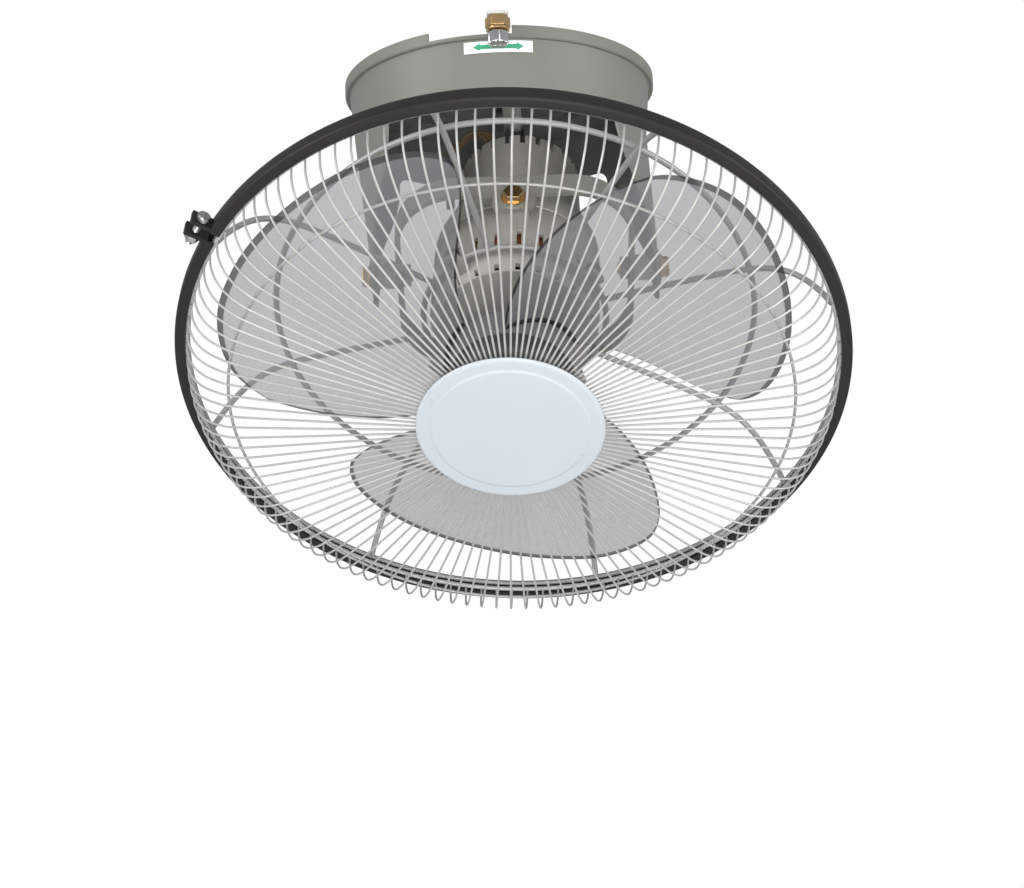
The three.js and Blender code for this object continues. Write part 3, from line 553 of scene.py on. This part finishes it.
def thumbScrew():
    p = lock
    r, low, high = p["radius"], p["bottom"], p["top"]
    rows = []
    levels = [(r - 1.5, low, 0), (r - 0.9, low + 0.3, 0), (r - 0.3, low + 1.0, 0.3), (r, low + 1.6, 1),
              (r, high - 1.4, 1), (r - 0.5, high - 0.5, 0.2), (r - 1.2, high, 0)]
    count = p["teeth"] * 4
    points, faces = [], []
    for radius, z, depth in levels:
        rows.append(len(points))
        for i in range(count):
            a = turn * i / count
            dip = p["toothDepth"] * depth * (0.5 - 0.5 * math.cos(a * p["teeth"]))
            points.append(((radius - dip) * math.cos(a), (radius - dip) * math.sin(a), z))
    for one, two in zip(rows, rows[1:]):
        faces += [(one + i, one + (i + 1) % count, two + (i + 1) % count, two + i) for i in range(count)]
    faces += [tuple(range(count - 1, -1, -1)), tuple(range(rows[-1], rows[-1] + count))]
    obj = recalculated(build("thumbScrew", moved((points, faces), p["x"], p["y"], 0), housingPlace))
    half = p["slotHalf"]
    slot = block(-half, half, -9, 9, low - 1, low + p["slotDepth"])
    cross = block(-9, 9, -half, half, low - 1, low + p["crossDepth"])
    for cut in (slot, cross):
        carve(obj, moved(cut, p["x"], p["y"], 0), housingPlace)
    grooves = []
    z = high - 1
    while z < -gap - 0.5:
        grooves += [(p["stud"], z), (p["stud"] - 0.35, z + p["pitch"] / 2)]
        z += p["pitch"]
    stud = lathe([(0, high - 1), *grooves, (p["stud"] - 0.4, -gap), (0, -gap)], 32)
    carve(obj, moved(stud, p["x"], p["y"], 0), housingPlace, "UNION")
    piece(obj, "thumb", chromeBright, ["thumb_screw"], smooth=30)


def lockNut():
    p = lock
    r, z = p["washer"], p["top"]
    washer = lathe([(boltBore, z + gap), (r - 0.3, z + gap), (r, z + 0.6), (r, z + 1.9), (r - 0.3, z + 2.2),
                    (boltBore, z + 2.2)], 64)
    piece(build("lockWasher", moved(washer, p["x"], p["y"], 0), housingPlace), "housing", brassPlain,
          ["lock_washer"])
    nut = moved(hexHead(p["nut"], p["nutHeight"]), p["x"], p["y"], z + 2.2 + gap)
    obj = recalculated(build("lockNut", nut, housingPlace))
    carve(obj, moved(prism(circle(boltBore, 32), -30, 9), p["x"], p["y"], 0), housingPlace)
    softEdges(obj, 0.3)
    piece(obj, "housing", brassPlain, ["lock_nut"])


# ---- ear pivots ----
pivot = {"shank": 4.0, "head": 8.2, "height": 6.0, "bush": 9.0, "ringHalf": 82.5, "ringSheet": 3.0,
         "edge": 0.25}


def earPivots():
    p = pivot
    face = earFace() + drum["padOut"] + gap
    for side, name in ((-1, "left"), (1, "right")):
        spin = math.pi if side < 0 else 0

        def placed(shape):
            return moved(spun(alongX(shape), spin), gimbal["x"], 0, gimbal["z"])

        washer = lathe([(0, face), (p["head"] - 0.2, face), (p["head"] - 0.2, face + 1), (0, face + 1)], 48)
        head = moved(hexHead(p["head"] - 0.8, p["height"] - 1.2, 1.1), 0, 0, face + 1)
        shank = prism(circle(p["shank"], 32), p["ringHalf"] - p["ringSheet"] - p["height"] - 2, face + 0.5)
        obj = recalculated(build("earBolt_" + name, placed(washer), housingPlace))
        carve(obj, placed(head), housingPlace, "UNION")
        carve(obj, placed(shank), housingPlace, "UNION")
        softEdges(obj, p["edge"])
        piece(obj, "housing", brassPlain, ["ear_bolt_" + name])
        start, stop = p["ringHalf"] + gap, earFace() - drum["sheet"] - drum["padIn"] - gap
        bush = lathe([(p["shank"] + gap, start), (p["bush"] - 0.6, start), (p["bush"], start + 0.6),
                      (p["bush"], stop - 0.6), (p["bush"] - 0.6, stop), (p["shank"] + gap, stop)], 64)
        obj = build("earBush_" + name, placed(bush), housingPlace)
        piece(obj, "housing", nylonPale, ["ear_bush_" + name])
        back = p["ringHalf"] - p["ringSheet"] - gap
        hexagon = moved(hexHead(p["head"], p["height"]), 0, 0, back - p["height"])
        nut = recalculated(build("earNut_" + name, placed(hexagon), housingPlace))
        carve(nut, placed(prism(circle(p["shank"] + gap, 32), 0, 200)), housingPlace)
        softEdges(nut, p["edge"])
        piece(nut, "housing", zincSteel, ["ear_nut_" + name])


# ---- gimbal ring ----
ring = {"halfX": 82.5, "halfY": 77.0, "corner": 44.0, "sheet": 3.0, "top": 9.0, "bottom": -11.0,
        "tabHalf": 14.5, "tabBottom": -27.0, "through": 120.0, "edge": 0.5}


def roundedPlan(halfX, halfY, corner, steps=20):
    out = []
    for cx, cy, start in ((1, 1, 0), (-1, 1, 90), (-1, -1, 180), (1, -1, 270)):
        for i in range(steps + 1):
            a = math.radians(start + 90 * i / steps)
            x, y = corner * math.cos(a), corner * math.sin(a)
            out.append((cx * (halfX - corner) + x, cy * (halfY - corner) + y))
    return out


def gimbalRing():
    p = ring
    t = p["sheet"]
    outside = roundedPlan(p["halfX"], p["halfY"], p["corner"])
    inside = roundedPlan(p["halfX"] - t, p["halfY"] - t, p["corner"] - t)
    obj = recalculated(build("gimbalRing", prism(outside, p["bottom"], p["top"]), ringPlace))
    carve(obj, prism(inside, p["bottom"] - 1, p["top"] + 1), ringPlace)
    half, low = p["tabHalf"], p["tabBottom"]
    tab = [(-half, p["bottom"] + 2), (-half, low + 5), (-half + 1.5, low + 1.5), (-half + 5, low)]
    tab += [(-x, z) for x, z in reversed(tab)]
    swapYZ = Matrix(((1, 0, 0, 0), (0, 0, 1, 0), (0, 1, 0, 0), (0, 0, 0, 1)))
    for near in (-p["halfY"], p["halfY"] - t):
        carve(obj, turned(prism(tab, near, near + t), swapYZ), ringPlace, "UNION")
    bore = prism(circle(pivotBore, 32), -p["through"], p["through"])
    carve(obj, alongX(bore), ringPlace)
    carve(obj, moved(alongY(bore), 0, 0, -gimbal["pivotDrop"]), ringPlace)
    softEdges(obj, p["edge"], 3)
    piece(obj, "ring", ringPaint, ["gimbal_ring"])


# ---- motor ----
motor = {"radius": 58.0, "tail": 43.0, "tailEnd": 102.0, "split": 2.0, "shoulder": 50.0, "face": 51.0,
         "front": 62.0, "wall": 2.4, "slots": 24, "slotWidth": 3.6, "slotDepth": 10.0, "crankBore": 5.8,
         "vents": 24, "ventWidth": 3.2, "sideVent": (-46, -27), "faceVent": (-60.8, -57.2), "boss": 10.5,
         "lugEnd": 71.6, "lugHalf": 6.5, "lugLow": -56.5, "lugTop": -51.4, "screwCircle": 67.1,
         "screwBore": 2.3, "edge": 0.35}
flank = [(43.1, 90), (43.6, 76), (44.4, 62), (46.2, 50), (50, 38), (54.2, 27), (57.2, 18), (58, 10)]


def rearCover():
    p = motor
    w, tail, end = p["wall"], p["tail"], p["tailEnd"]
    outer = [(tail - 1.2, end), (tail - 0.3, end - 0.4), (tail, end - 1.3)]
    outer += [(min(v.x, p["radius"]), v.y) for v in smoothPath([(r, z, 0) for r, z in flank], 4)]
    outer += [(p["radius"], p["split"] + 0.4), (p["radius"] - 0.4, p["split"])]
    inner = [(p["radius"] - w, p["split"]), (p["radius"] - w, 16), (tail + 5 - w, 42), (tail - w, 66),
             (tail - w, end - w)]
    shell = lathe([(0, end), *outer, *inner, (0, end - w)], 144)
    obj = recalculated(build("rearCover", shell, headPlace))
    half = p["slotWidth"] / 2
    slot = block(tail - 7, tail + 4, -half, half, end - p["slotDepth"], end + 3)
    slots = [spun(slot, turn * (i + 0.25) / p["slots"]) for i in range(p["slots"])]
    carve(obj, together(*slots), headPlace)
    carve(obj, prism(circle(p["crankBore"], 32), 80, 120), headPlace)
    softEdges(obj, p["edge"])
    piece(obj, "motor", motorPaint, ["rear_cover"])


guardScrewAt = [turn * i / 4 + math.radians(52.5) for i in range(4)]


def frontCover():
    p = motor
    w = p["wall"]
    rear = p["split"] - gap
    r, shoulder, face, front = p["radius"], -p["shoulder"], p["face"], -p["front"]
    profile = [
        (r - 0.4, rear), (r, rear - 0.5), (r, shoulder), (r - 0.5, shoulder - 3.4), (r - 1.9, shoulder - 6.4),
        (face + 1.4, front + 0.5), (face - 1, front), (15.5, front), (14.8, front - 0.8), (14.5, front - 5.4),
        (14, front - 6), (5.2, front - 6), (5.2, front - 3), (11.5, front - 3), (11.5, front + w),
        (face - 1, front + w), (r - w, shoulder - 3), (r - w, rear),
    ]
    obj = recalculated(build("frontCover", lathe(profile, 144), headPlace))
    reach, root = ring["halfY"] - ring["sheet"] - gap, r - 3
    for near, far in ((-reach, -root), (root, reach)):
        boss = lathe([(0, near), (p["boss"], near), (p["boss"], far), (0, far)], 48)
        carve(obj, moved(alongY(boss), 0, 0, -gimbal["pivotDrop"]), headPlace, "UNION")
        bore = prism(circle(pivotBore, 32), near - 4, far + 4)
        carve(obj, moved(alongY(bore), 0, 0, -gimbal["pivotDrop"]), headPlace)
    lug = block(r - 2, p["lugEnd"], -p["lugHalf"], p["lugHalf"], p["lugLow"], p["lugTop"])
    for a in guardScrewAt:
        carve(obj, spun(lug, a), headPlace, "UNION")
    half = p["ventWidth"] / 2
    vents = []
    for i in range(p["vents"]):
        a = turn * (i + 0.25) / p["vents"]
        vents.append(spun(block(face + 1, r + 3, -half, half, *p["sideVent"]), a))
        vents.append(spun(block(face - 2, r, -half, half, *p["faceVent"]), a))
    carve(obj, together(*vents), headPlace)
    screwHole = prism(circle(p["screwBore"], 24, p["screwCircle"], 0), -70, -40)
    for a in guardScrewAt:
        carve(obj, spun(screwHole, a), headPlace)
    # The front cover takes the motor paint with painted shade.
    piece(obj, "motor", shadedCoverPaint, ["front_cover"])


def pivotBolts():
    p = pivot
    outside = ring["halfY"] + gap
    for name, spin in (("front", math.pi), ("rear", 0)):
        def placed(shape):  # lies along +Y, towards the rear, until it is spun
            return moved(spun(alongY(shape), spin), 0, 0, -gimbal["pivotDrop"])

        rim = p["head"]
        washer = lathe([(0, outside), (rim, outside), (rim, outside + 1.1), (0, outside + 1.1)], 48)
        head = moved(hexHead(rim - 0.7, p["height"] - 1.3, 1.1), 0, 0, outside + 1)
        shank = prism(circle(p["shank"], 32), motor["radius"] + 1, outside + 0.5)
        obj = recalculated(build("pivotBolt_" + name, placed(washer), headPlace))
        carve(obj, placed(head), headPlace, "UNION")
        carve(obj, placed(shank), headPlace, "UNION")
        softEdges(obj, p["edge"])
        piece(obj, "motor", brassPlain, [name + "_pivot_bolt"])


strands = {"count": 3, "radius": 1.35, "spread": 3.4, "clip": (-52, -46.3, -20, -4, 64, 70)}


def motorWires():
    shapes = []
    for i in range(strands["count"]):
        spread = i * strands["spread"]
        stations = [(-14 - spread, -30 + spread * 0.4, 103.8), (-21 - spread, -36 + spread * 0.2, 111),
                    (-36 - spread * 0.4, -36 + spread, 112.6), (-48, -26 + spread, 103),
                    (-49.3, -17 + spread, 84), (-49.3, -14 + spread, 66)]
        shapes.append(tubeAlong(smoothPath(stations, 10), strands["radius"], 12))
    obj = build("motorWires", together(*shapes), headPlace)
    piece(obj, "motor", wireBrown, ["motor_wires"])
    clip = softEdges(recalculated(build("wireClip", block(*strands["clip"]), headPlace)), 0.8, 3)
    piece(clip, "motor", rubberBlack)


# ---- guards ----
guard = {"wires": 120, "wire": 0.72, "rim": 216.8, "rimWire": 1.6, "rearRim": 98.3, "frontRim": 103.7,
         "stiffener": 185.3, "stiffenerWire": 1.0, "stiffenerAt": 139.3, "rearRing": 163.5,
         "rearRingAt": 46.6, "spokes": 8, "spokeFrom": 30, "spokeWire": 2.05, "neck": 62.6, "neckAt": 49.0,
         "plateInner": 40.0, "plateOuter": 58.0, "plateAt": 153.2, "plateThickness": 3.2, "screwHead": 5.6,
         "crossHalf": 3.2, "crossSlot": 0.5}
# Stations are (radius, distance ahead of the gimbal centre).
frontPath = [(216.5, 103.7), (215.8, 110), (214.2, 117.8), (211, 125.2), (206.8, 131.2), (200.4, 136.4),
             (193, 139.8), (184, 142.2), (150, 145.9), (110, 149.7), (75, 153), (56, 154.8)]
rearPath = [(215.2, 98.5), (210.5, 88), (205, 78), (198.5, 68.5), (190.5, 60), (181, 53.5), (170, 49.5),
            (158, 47.6), (140, 47), (100, 47.4), (62.6, 49)]


def planePath(stations, azimuth, steps):
    flat = smoothPath([(r, ahead, 0) for r, ahead in stations], steps)
    return [headPoint(v.x, azimuth, v.y) for v in flat]


def frontGuard():
    p = guard
    shapes = [ringWire(p["rim"], -p["frontRim"], p["rimWire"])]
    for i in range(p["wires"]):
        shapes.append(tubeAlong(planePath(frontPath, (i + 0.5) * 360 / p["wires"], 3), p["wire"], 8))
    low, high = -p["plateAt"] - p["plateThickness"], -p["plateAt"]
    shapes.append(lathe([(p["plateInner"], low), (p["plateOuter"], low), (p["plateOuter"], high),
                         (p["plateInner"], high)], 96))
    obj = build("frontGuard", together(*shapes), headPlace)
    piece(obj, "motor", wirePaint, ["front_guard"])
    thin = ringWire(p["stiffener"], -p["stiffenerAt"], p["stiffenerWire"])
    piece(build("stiffeningRing", thin, headPlace), "motor", spokePaint, ["stiffening_ring"])


def rearGuard():
    p = guard
    shapes = [ringWire(p["rim"], -p["rearRim"], p["rimWire"]),
              ringWire(p["rearRing"], -p["rearRingAt"], p["spokeWire"], 180, 14),
              ringWire(p["neck"], -p["neckAt"], p["spokeWire"], 120, 14)]
    for i in range(p["spokes"]):
        azimuth = p["spokeFrom"] + 360 / p["spokes"] * i
        shapes.append(tubeAlong(planePath(rearPath, azimuth, 5), p["spokeWire"], 14))
    piece(build("rearGuard", together(*shapes), headPlace), "motor", spokePaint, ["rear_guard"])
    face = -(p["neckAt"] - 2.1 - gap)
    head, long, thin = p["screwHead"], p["crossHalf"], p["crossSlot"]
    dome = lathe([(0, -58), (2, -58), (2, face), (head, face), (head - 0.2, face + 1.2),
                  (head - 1.4, face + 2.2), (0, face + 2.6)], 32)
    slots = [block(-x, x, -y, y, face + 1.4, face + 4) for x, y in ((long, thin), (thin, long))]
    for i, a in enumerate(guardScrewAt):
        def placed(shape):
            return spun(moved(shape, motor["screwCircle"], 0, 0), a)

        obj = recalculated(build(f"guardScrew_{i + 1}", placed(dome), headPlace))
        for slot in slots:
            carve(obj, placed(slot), headPlace)
        piece(obj, "motor", zincSteel, [f"guard_screw_{i + 1}"])


# ---- rim band ----
band = {"outer": 225.0, "inner": 217.6, "rear": 94.8, "front": 107.2, "wall": 1.6, "azimuth": 212.0,
        "gap": 7.0, "lugThickness": 3.0, "lugReach": 13.0, "screwOut": 6.0, "screw": 2.5, "screwPitch": 0.8,
        "screwEnd": 8.0, "edge": 0.3}


def rimBand():
    p = band
    o, w = p["outer"], p["wall"]
    r, f = -p["rear"], -p["front"]
    profile = [(p["inner"], r), (o - 2.8, r), (o - 1.2, r - 0.5), (o - 0.3, r - 1.8), (o, r - 3.6),
               (o, f + 3.6), (o - 0.3, f + 1.8), (o - 1.2, f + 0.5), (o - 2.8, f), (p["inner"], f),
               (p["inner"], f + w), (o - 2.6, f + w), (o - 2.6, r - w), (p["inner"], r - w)]
    turnBack = math.radians(p["azimuth"])
    obj = recalculated(build("rimBand", spun(lathe(profile, 240), turnBack), headPlace))
    half = p["gap"] / 2
    for y in (-half - p["lugThickness"], half):
        lug = block(o - 3, o + p["lugReach"], y, y + p["lugThickness"], f + 1, r - 1)
        carve(obj, spun(lug, turnBack), headPlace, "UNION")
    carve(obj, spun(block(p["inner"] - 5, o + 20, -half, half, f - 5, r + 5), turnBack), headPlace)
    hole = moved(alongY(prism(circle(boltBore, 32), -30, 30)), o + p["screwOut"], 0, (r + f) / 2)
    carve(obj, spun(hole, turnBack), headPlace)
    softEdges(obj, p["edge"], angle=40)
    piece(obj, "motor", bandDark, ["rim_band"], smooth=50)


def clampScrew():
    p = band
    middle = -(p["rear"] + p["front"]) / 2
    turnBack = math.radians(p["azimuth"])
    face = p["gap"] / 2 + p["lugThickness"] + gap

    def placed(shape):
        return spun(moved(alongY(shape), p["outer"] + p["screwOut"], 0, middle), turnBack)

    grooves = []
    z = -face - p["screwEnd"]
    while z < face - 1:
        grooves += [(p["screw"] - 0.35, z), (p["screw"], z + p["screwPitch"] / 2)]
        z += p["screwPitch"]
    head = lathe([(0, -face - p["screwEnd"]), *grooves, (p["screw"], face), (4.4, face), (4.6, face + 0.3),
                  (4.6, face + 2.6), (3.8, face + 3.6), (2.2, face + 4), (0, face + 4)], 40)
    obj = recalculated(build("clampScrew", placed(head), headPlace))
    carve(obj, placed(block(-0.6, 0.6, -9, 9, face + 2.8, face + 9)), headPlace)
    piece(obj, "clamp", zincSteel, ["clamp_screw"], smooth=30)
    nut = recalculated(build("clampNut", placed(moved(hexHead(5, 4.5, 0.7), 0, 0, -face - 4.5)), headPlace))
    carve(nut, placed(prism(circle(boltBore, 32), -40, 40)), headPlace)
    softEdges(nut, 0.2)
    piece(nut, "motor", zincSteel, ["clamp_nut"])


# ---- badge ----
badge = {"radius": 61.8, "back": 157.5, "front": 160.2, "circle": 49.0, "boss": 3.6, "bore": 1.8}


def frontBadge():
    p = badge
    back, front = -p["back"], -p["front"]
    profile = [(0, front), (30, front + 0.02), (50.6, front + 0.1), (51.6, front + 0.3), (52.4, front + 0.72),
               (53.2, front + 0.8), (59.4, front + 0.8), (60.8, front + 1.0), (61.5, front + 1.5),
               (p["radius"], front + 2.1), (p["radius"], back), (0, back)]
    obj = recalculated(build("badge", lathe(profile, 128), headPlace))
    plateFront = -(guard["plateAt"] + guard["plateThickness"] + gap)
    for i in range(3):
        a = turn * i / 3 + math.pi / 6
        x, y = p["circle"] * math.cos(a), p["circle"] * math.sin(a)
        carve(obj, prism(circle(p["boss"], 32, x, y), back - 1, plateFront), headPlace, "UNION")
        carve(obj, prism(circle(p["bore"], 24, x, y), back - 1, -150), headPlace)
    piece(obj, "motor", badgeGloss, ["badge"])


# ---- rotor ----
hub = {"radius": 42.0, "rear": 86.0, "front": 111.0, "core": 12.0, "ribHalf": 1.5, "ribTurn": 0.2}
blade = {"thickness": 2.4, "rearEdge": 78.0, "frontEdge": 108.0, "camber": 5.0, "rootRise": 20.0,
         "rootLow": 24.0, "rootHigh": 104.0, "along": 36, "across": 48, "edgeRun": 30}
# The tip edge as (radius, degrees) from the trailing corner round to the leading one.
bladeTip = [(168, 53), (189, 60.5), (198.6, 72), (197, 84), (190, 102), (184, 119), (176, 131), (163, 137),
            (148, 137.5)]


def bladePoint(u, v, tip):
    p = blade
    rootAzimuth = p["rootLow"] + (p["rootHigh"] - p["rootLow"]) * v
    bow = u + (1 - (1 - u) ** 2 - u) * v
    root = hub["radius"] + gap
    azimuth = rootAzimuth + (tip.y - rootAzimuth) * bow
    radius = root + (tip.x - root) * u
    t = min(1, u * 1.6)
    rise = p["rootRise"] + (p["frontEdge"] - p["rearEdge"] - p["rootRise"]) * t
    rootMiddle = (hub["rear"] + hub["front"]) / 2
    middle = rootMiddle + ((p["frontEdge"] + p["rearEdge"]) / 2 - rootMiddle) * t
    ahead = middle + rise * (0.5 - v) - p["camber"] * math.sin(math.pi * v)
    return headPoint(radius, azimuth, ahead)


def bladeSolid(index):
    along, across = blade["along"], blade["across"]
    tips = smoothPath([(r, a, 0) for r, a in bladeTip], 6)
    points, faces = [], []
    half = blade["thickness"] / 2
    for side in (-1, 1):
        for i in range(along + 1):
            for k in range(across + 1):
                u, v = i / along, k / across
                point = bladePoint(u, v, tips[k])
                edge = (min(1 - u, v, 1 - v) if i else min(v, 1 - v)) * blade["edgeRun"]
                lift = half * math.sqrt(max(0.04, 1 - max(0, 1 - edge) ** 2))
                points.append(tuple(point + Vector((0, 0, side * lift))))
    layer = (along + 1) * (across + 1)
    row = across + 1
    for i in range(along):
        for k in range(across):
            a = i * row + k
            faces.append((a, a + 1, a + row + 1, a + row))
            faces.append((layer + a, layer + a + row, layer + a + row + 1, layer + a + 1))
    border = list(range(across + 1)) + [i * row + across for i in range(1, along + 1)]
    border += [along * row + k for k in range(across - 1, -1, -1)]
    border += [i * row for i in range(along - 1, 0, -1)]
    for a, b in zip(border, border[1:] + border[:1]):
        faces.append((a, layer + a, layer + b, b))
    shape = spun((points, faces), turn * index / 3)
    obj = build(f"blade_{index + 1}_smooth", shape, headPlace)
    piece(obj, "rotor", bladeSmoke, [f"blade_{index + 1}"], smooth=60)
    # The border faces and a thin band beside them get the painted edge shade.
    obj.data.materials.append(bladeEdgeShade)
    rim = {tuple(round(c, 6) for c in headPlace @ (Vector(shape[0][k]) * 0.001)) for k in border}
    for face in obj.data.polygons:
        corners = [tuple(round(c, 6) for c in obj.data.vertices[v].co) for v in face.vertices]
        face.material_index = int(sum(c in rim for c in corners) == 2)


def bladeHub():
    p = hub
    r, rear, front = p["radius"], -p["rear"], -p["front"]
    profile = [(0, rear), (r - 4, rear), (r - 1.2, rear - 1), (r, rear - 4), (r, front), (r - 3, front),
               (r - 3, rear - 4), (0, rear - 4)]
    obj = recalculated(build("bladeHub", lathe(profile, 96), headPlace))
    carve(obj, prism(circle(p["core"], 48), front, rear - 1), headPlace, "UNION")
    rib = block(0, r - 1, -p["ribHalf"], p["ribHalf"], front, rear - 1)
    for i in range(3):
        carve(obj, spun(rib, turn * i / 3 + p["ribTurn"]), headPlace, "UNION")
    carve(obj, prism(circle(pivotBore, 32), -150, -50), headPlace)
    piece(obj, "rotor", hubSmoke, ["blade_hub"])
    back = front - gap
    cap = [(0, back - 19), (12, back - 18.8), (22, back - 17.9), (29, back - 16.2), (34, back - 13.8),
           (37.6, back - 10.4), (39.8, back - 6.4), (41, back), (36, back), (34, back - 8), (0, back - 8)]
    spinner = recalculated(build("spinnerCap", lathe(cap, 96), headPlace))
    carve(spinner, prism(circle(pivotBore, 32), -124.3, -90), headPlace)
    piece(spinner, "rotor", spinnerDark, ["spinner"])


# ---- crank ----
crank = {"throw": 69.6, "half": 8.0, "tip": 6.4, "at": 104.3, "thickness": 4.0, "azimuth": -4.4, "steps": 24,
         "eye": 9.0, "pin": 4.5, "pinTop": 6.7, "edge": 0.4}


def crankArm():
    p = crank
    half, tip, steps = p["half"], p["tip"], p["steps"]
    sweep = [math.pi * i / steps for i in range(steps + 1)]
    outline = [(half * math.cos(a), half * math.sin(a)) for a in sweep]
    outline += [(-tip * math.cos(a), -tip * math.sin(a) - p["throw"]) for a in sweep]
    spin = math.radians(p["azimuth"])
    low, high = p["at"], p["at"] + p["thickness"]
    obj = recalculated(build("crankArm", spun(prism(outline, low, high), spin), headPlace))
    carve(obj, spun(prism(circle(p["eye"], 64), low, high), spin), headPlace, "UNION")
    pin = prism(circle(p["pin"], 40, 0, -p["throw"]), low + 1, low + p["pinTop"])
    carve(obj, spun(pin, spin), headPlace, "UNION")
    carve(obj, spun(prism(circle(motor["crankBore"], 40), low - 2, low + 9), spin), headPlace)
    softEdges(obj, p["edge"], 3)
    piece(obj, "crank", zincSteel, ["crank_arm"])


for make in (ceilingPlate, drumHousing, arrowLabel, thumbScrew, lockNut, earPivots, gimbalRing, rearCover,
             frontCover, pivotBolts, motorWires, frontGuard, rearGuard, rimBand, clampScrew, frontBadge,
             bladeHub, crankArm):
    make()
    print("made", make.__name__)
for index in range(3):
    bladeSolid(index)
print("made blades")

# ---- CAD nodes that show as they are ----
shownAs = {
    "mount_bolt_1": zincSteel, "mount_bolt_2": zincSteel, "mount_bolt_3": zincSteel,
    "badge_screw_1": zincSteel, "badge_screw_2": zincSteel, "badge_screw_3": zincSteel,
    "front_bearing": zincSteel, "rear_bearing": zincSteel, "motor_shaft": zincSteel, "crank_shaft": zincSteel,
    "gearbox": zincSteel, "rotor_core": zincSteel, "stator": copperWound, "centre_bearing": nylonPale,
    "crank_bush": nylonPale,
}
for nodeName, material in shownAs.items():
    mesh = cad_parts[nodeName].data
    mesh.materials.clear()
    mesh.materials.append(material)
print("finishes on plain nodes")

# ---- camera ----
view = {"lens": 77.52, "sensor": 36, "farthest": 20, "pitch": 12.0, "roll": -2.0,
        "at": (0.3, -1485.5, -581.3)}
camera = bpy.data.objects.new("camera", bpy.data.cameras.new("camera"))
bpy.context.scene.collection.objects.link(camera)
bpy.context.scene.camera = camera
camera.data.sensor_width = view["sensor"]
camera.data.lens = view["lens"]
camera.data.clip_end = view["farthest"]
pitch, roll = math.radians(view["pitch"]), math.radians(view["roll"])
forward = Vector((0, math.cos(pitch), math.sin(pitch)))
right = Vector((1, 0, 0))
up = right.cross(forward)
right, up = right * math.cos(roll) + up * math.sin(roll), up * math.cos(roll) - right * math.sin(roll)
camera.matrix_world = shift(*view["at"]) @ Matrix((right, up, -forward)).transposed().to_4x4()

# ---- light ----
studio = {"soft": (0.93, 0.95, 1.0), "softPower": 0.5, "white": (1, 1, 1), "whitePower": 1.0}
world = bpy.data.worlds.new("studio")
bpy.context.scene.world = world
world.use_nodes = True
tree = world.node_tree
tree.nodes.clear()
output = tree.nodes.new("ShaderNodeOutputWorld")
mixer = tree.nodes.new("ShaderNodeMixShader")
soft = tree.nodes.new("ShaderNodeBackground")
soft.inputs["Color"].default_value = (*studio["soft"], 1)
soft.inputs["Strength"].default_value = studio["softPower"]
white = tree.nodes.new("ShaderNodeBackground")
white.inputs["Color"].default_value = (*studio["white"], 1)
white.inputs["Strength"].default_value = studio["whitePower"]
rays = tree.nodes.new("ShaderNodeLightPath")
tree.links.new(rays.outputs["Is Camera Ray"], mixer.inputs["Fac"])
tree.links.new(soft.outputs["Background"], mixer.inputs[1])
tree.links.new(white.outputs["Background"], mixer.inputs[2])
tree.links.new(mixer.outputs["Shader"], output.inputs["Surface"])

lamps = {
    "left": {"at": (-1.5, -1.0, 0.1), "size": 1.2, "power": 18, "color": (1.0, 0.99, 0.96)},
    "right": {"at": (1.6, -0.9, -0.2), "size": 1.2, "power": 17, "color": (1.0, 0.99, 0.96)},
    "front": {"at": (0.1, -1.7, -0.6), "size": 1.0, "power": 19, "color": (1.0, 1.0, 1.0)},
    "under": {"at": (0.0, -0.7, -1.5), "size": 1.4, "power": 7, "color": (1.0, 1.0, 1.0)},
}
target = Vector((0, -0.02, -0.17))
for name, s in lamps.items():
    data = bpy.data.lights.new(name, "AREA")
    data.shape = "DISK"
    data.size = s["size"]
    data.energy = s["power"]
    data.color = s["color"]
    lamp = bpy.data.objects.new(name, data)
    bpy.context.scene.collection.objects.link(lamp)
    lamp.location = s["at"]
    lamp.rotation_euler = (target - Vector(s["at"])).to_track_quat("-Z", "Y").to_euler()
bpy.context.scene.view_settings.view_transform = "Standard"
print("camera and light set")

# ---- floor ----
floor = {"level": -2200.0, "radius": 9000.0, "thickness": 20.0, "glow": 0.58}


def paleFloor():
    p = floor
    disc = prism(circle(p["radius"], 128), p["level"] - p["thickness"], p["level"])
    obj = recalculated(build("floor", disc, housingPlace))
    material = finish("floorPale", (238, 238, 236), 0.8, grain=2, mottle=0.01, bump=0.005, shine=0.1)
    nodes, links = material.node_tree.nodes, material.node_tree.links
    seen = nodes.new("ShaderNodeLightPath")
    glow = nodes.new("ShaderNodeMath")
    glow.operation = "MULTIPLY"
    glow.inputs[1].default_value = p["glow"]
    links.new(seen.outputs["Is Camera Ray"], glow.inputs[0])
    links.new(glow.outputs["Value"], nodes["Principled BSDF"].inputs["Emission Strength"])
    nodes["Principled BSDF"].inputs["Emission Color"].default_value = (1, 1, 1, 1)
    obj.data.materials.append(material)


paleFloor()
print("floor laid")
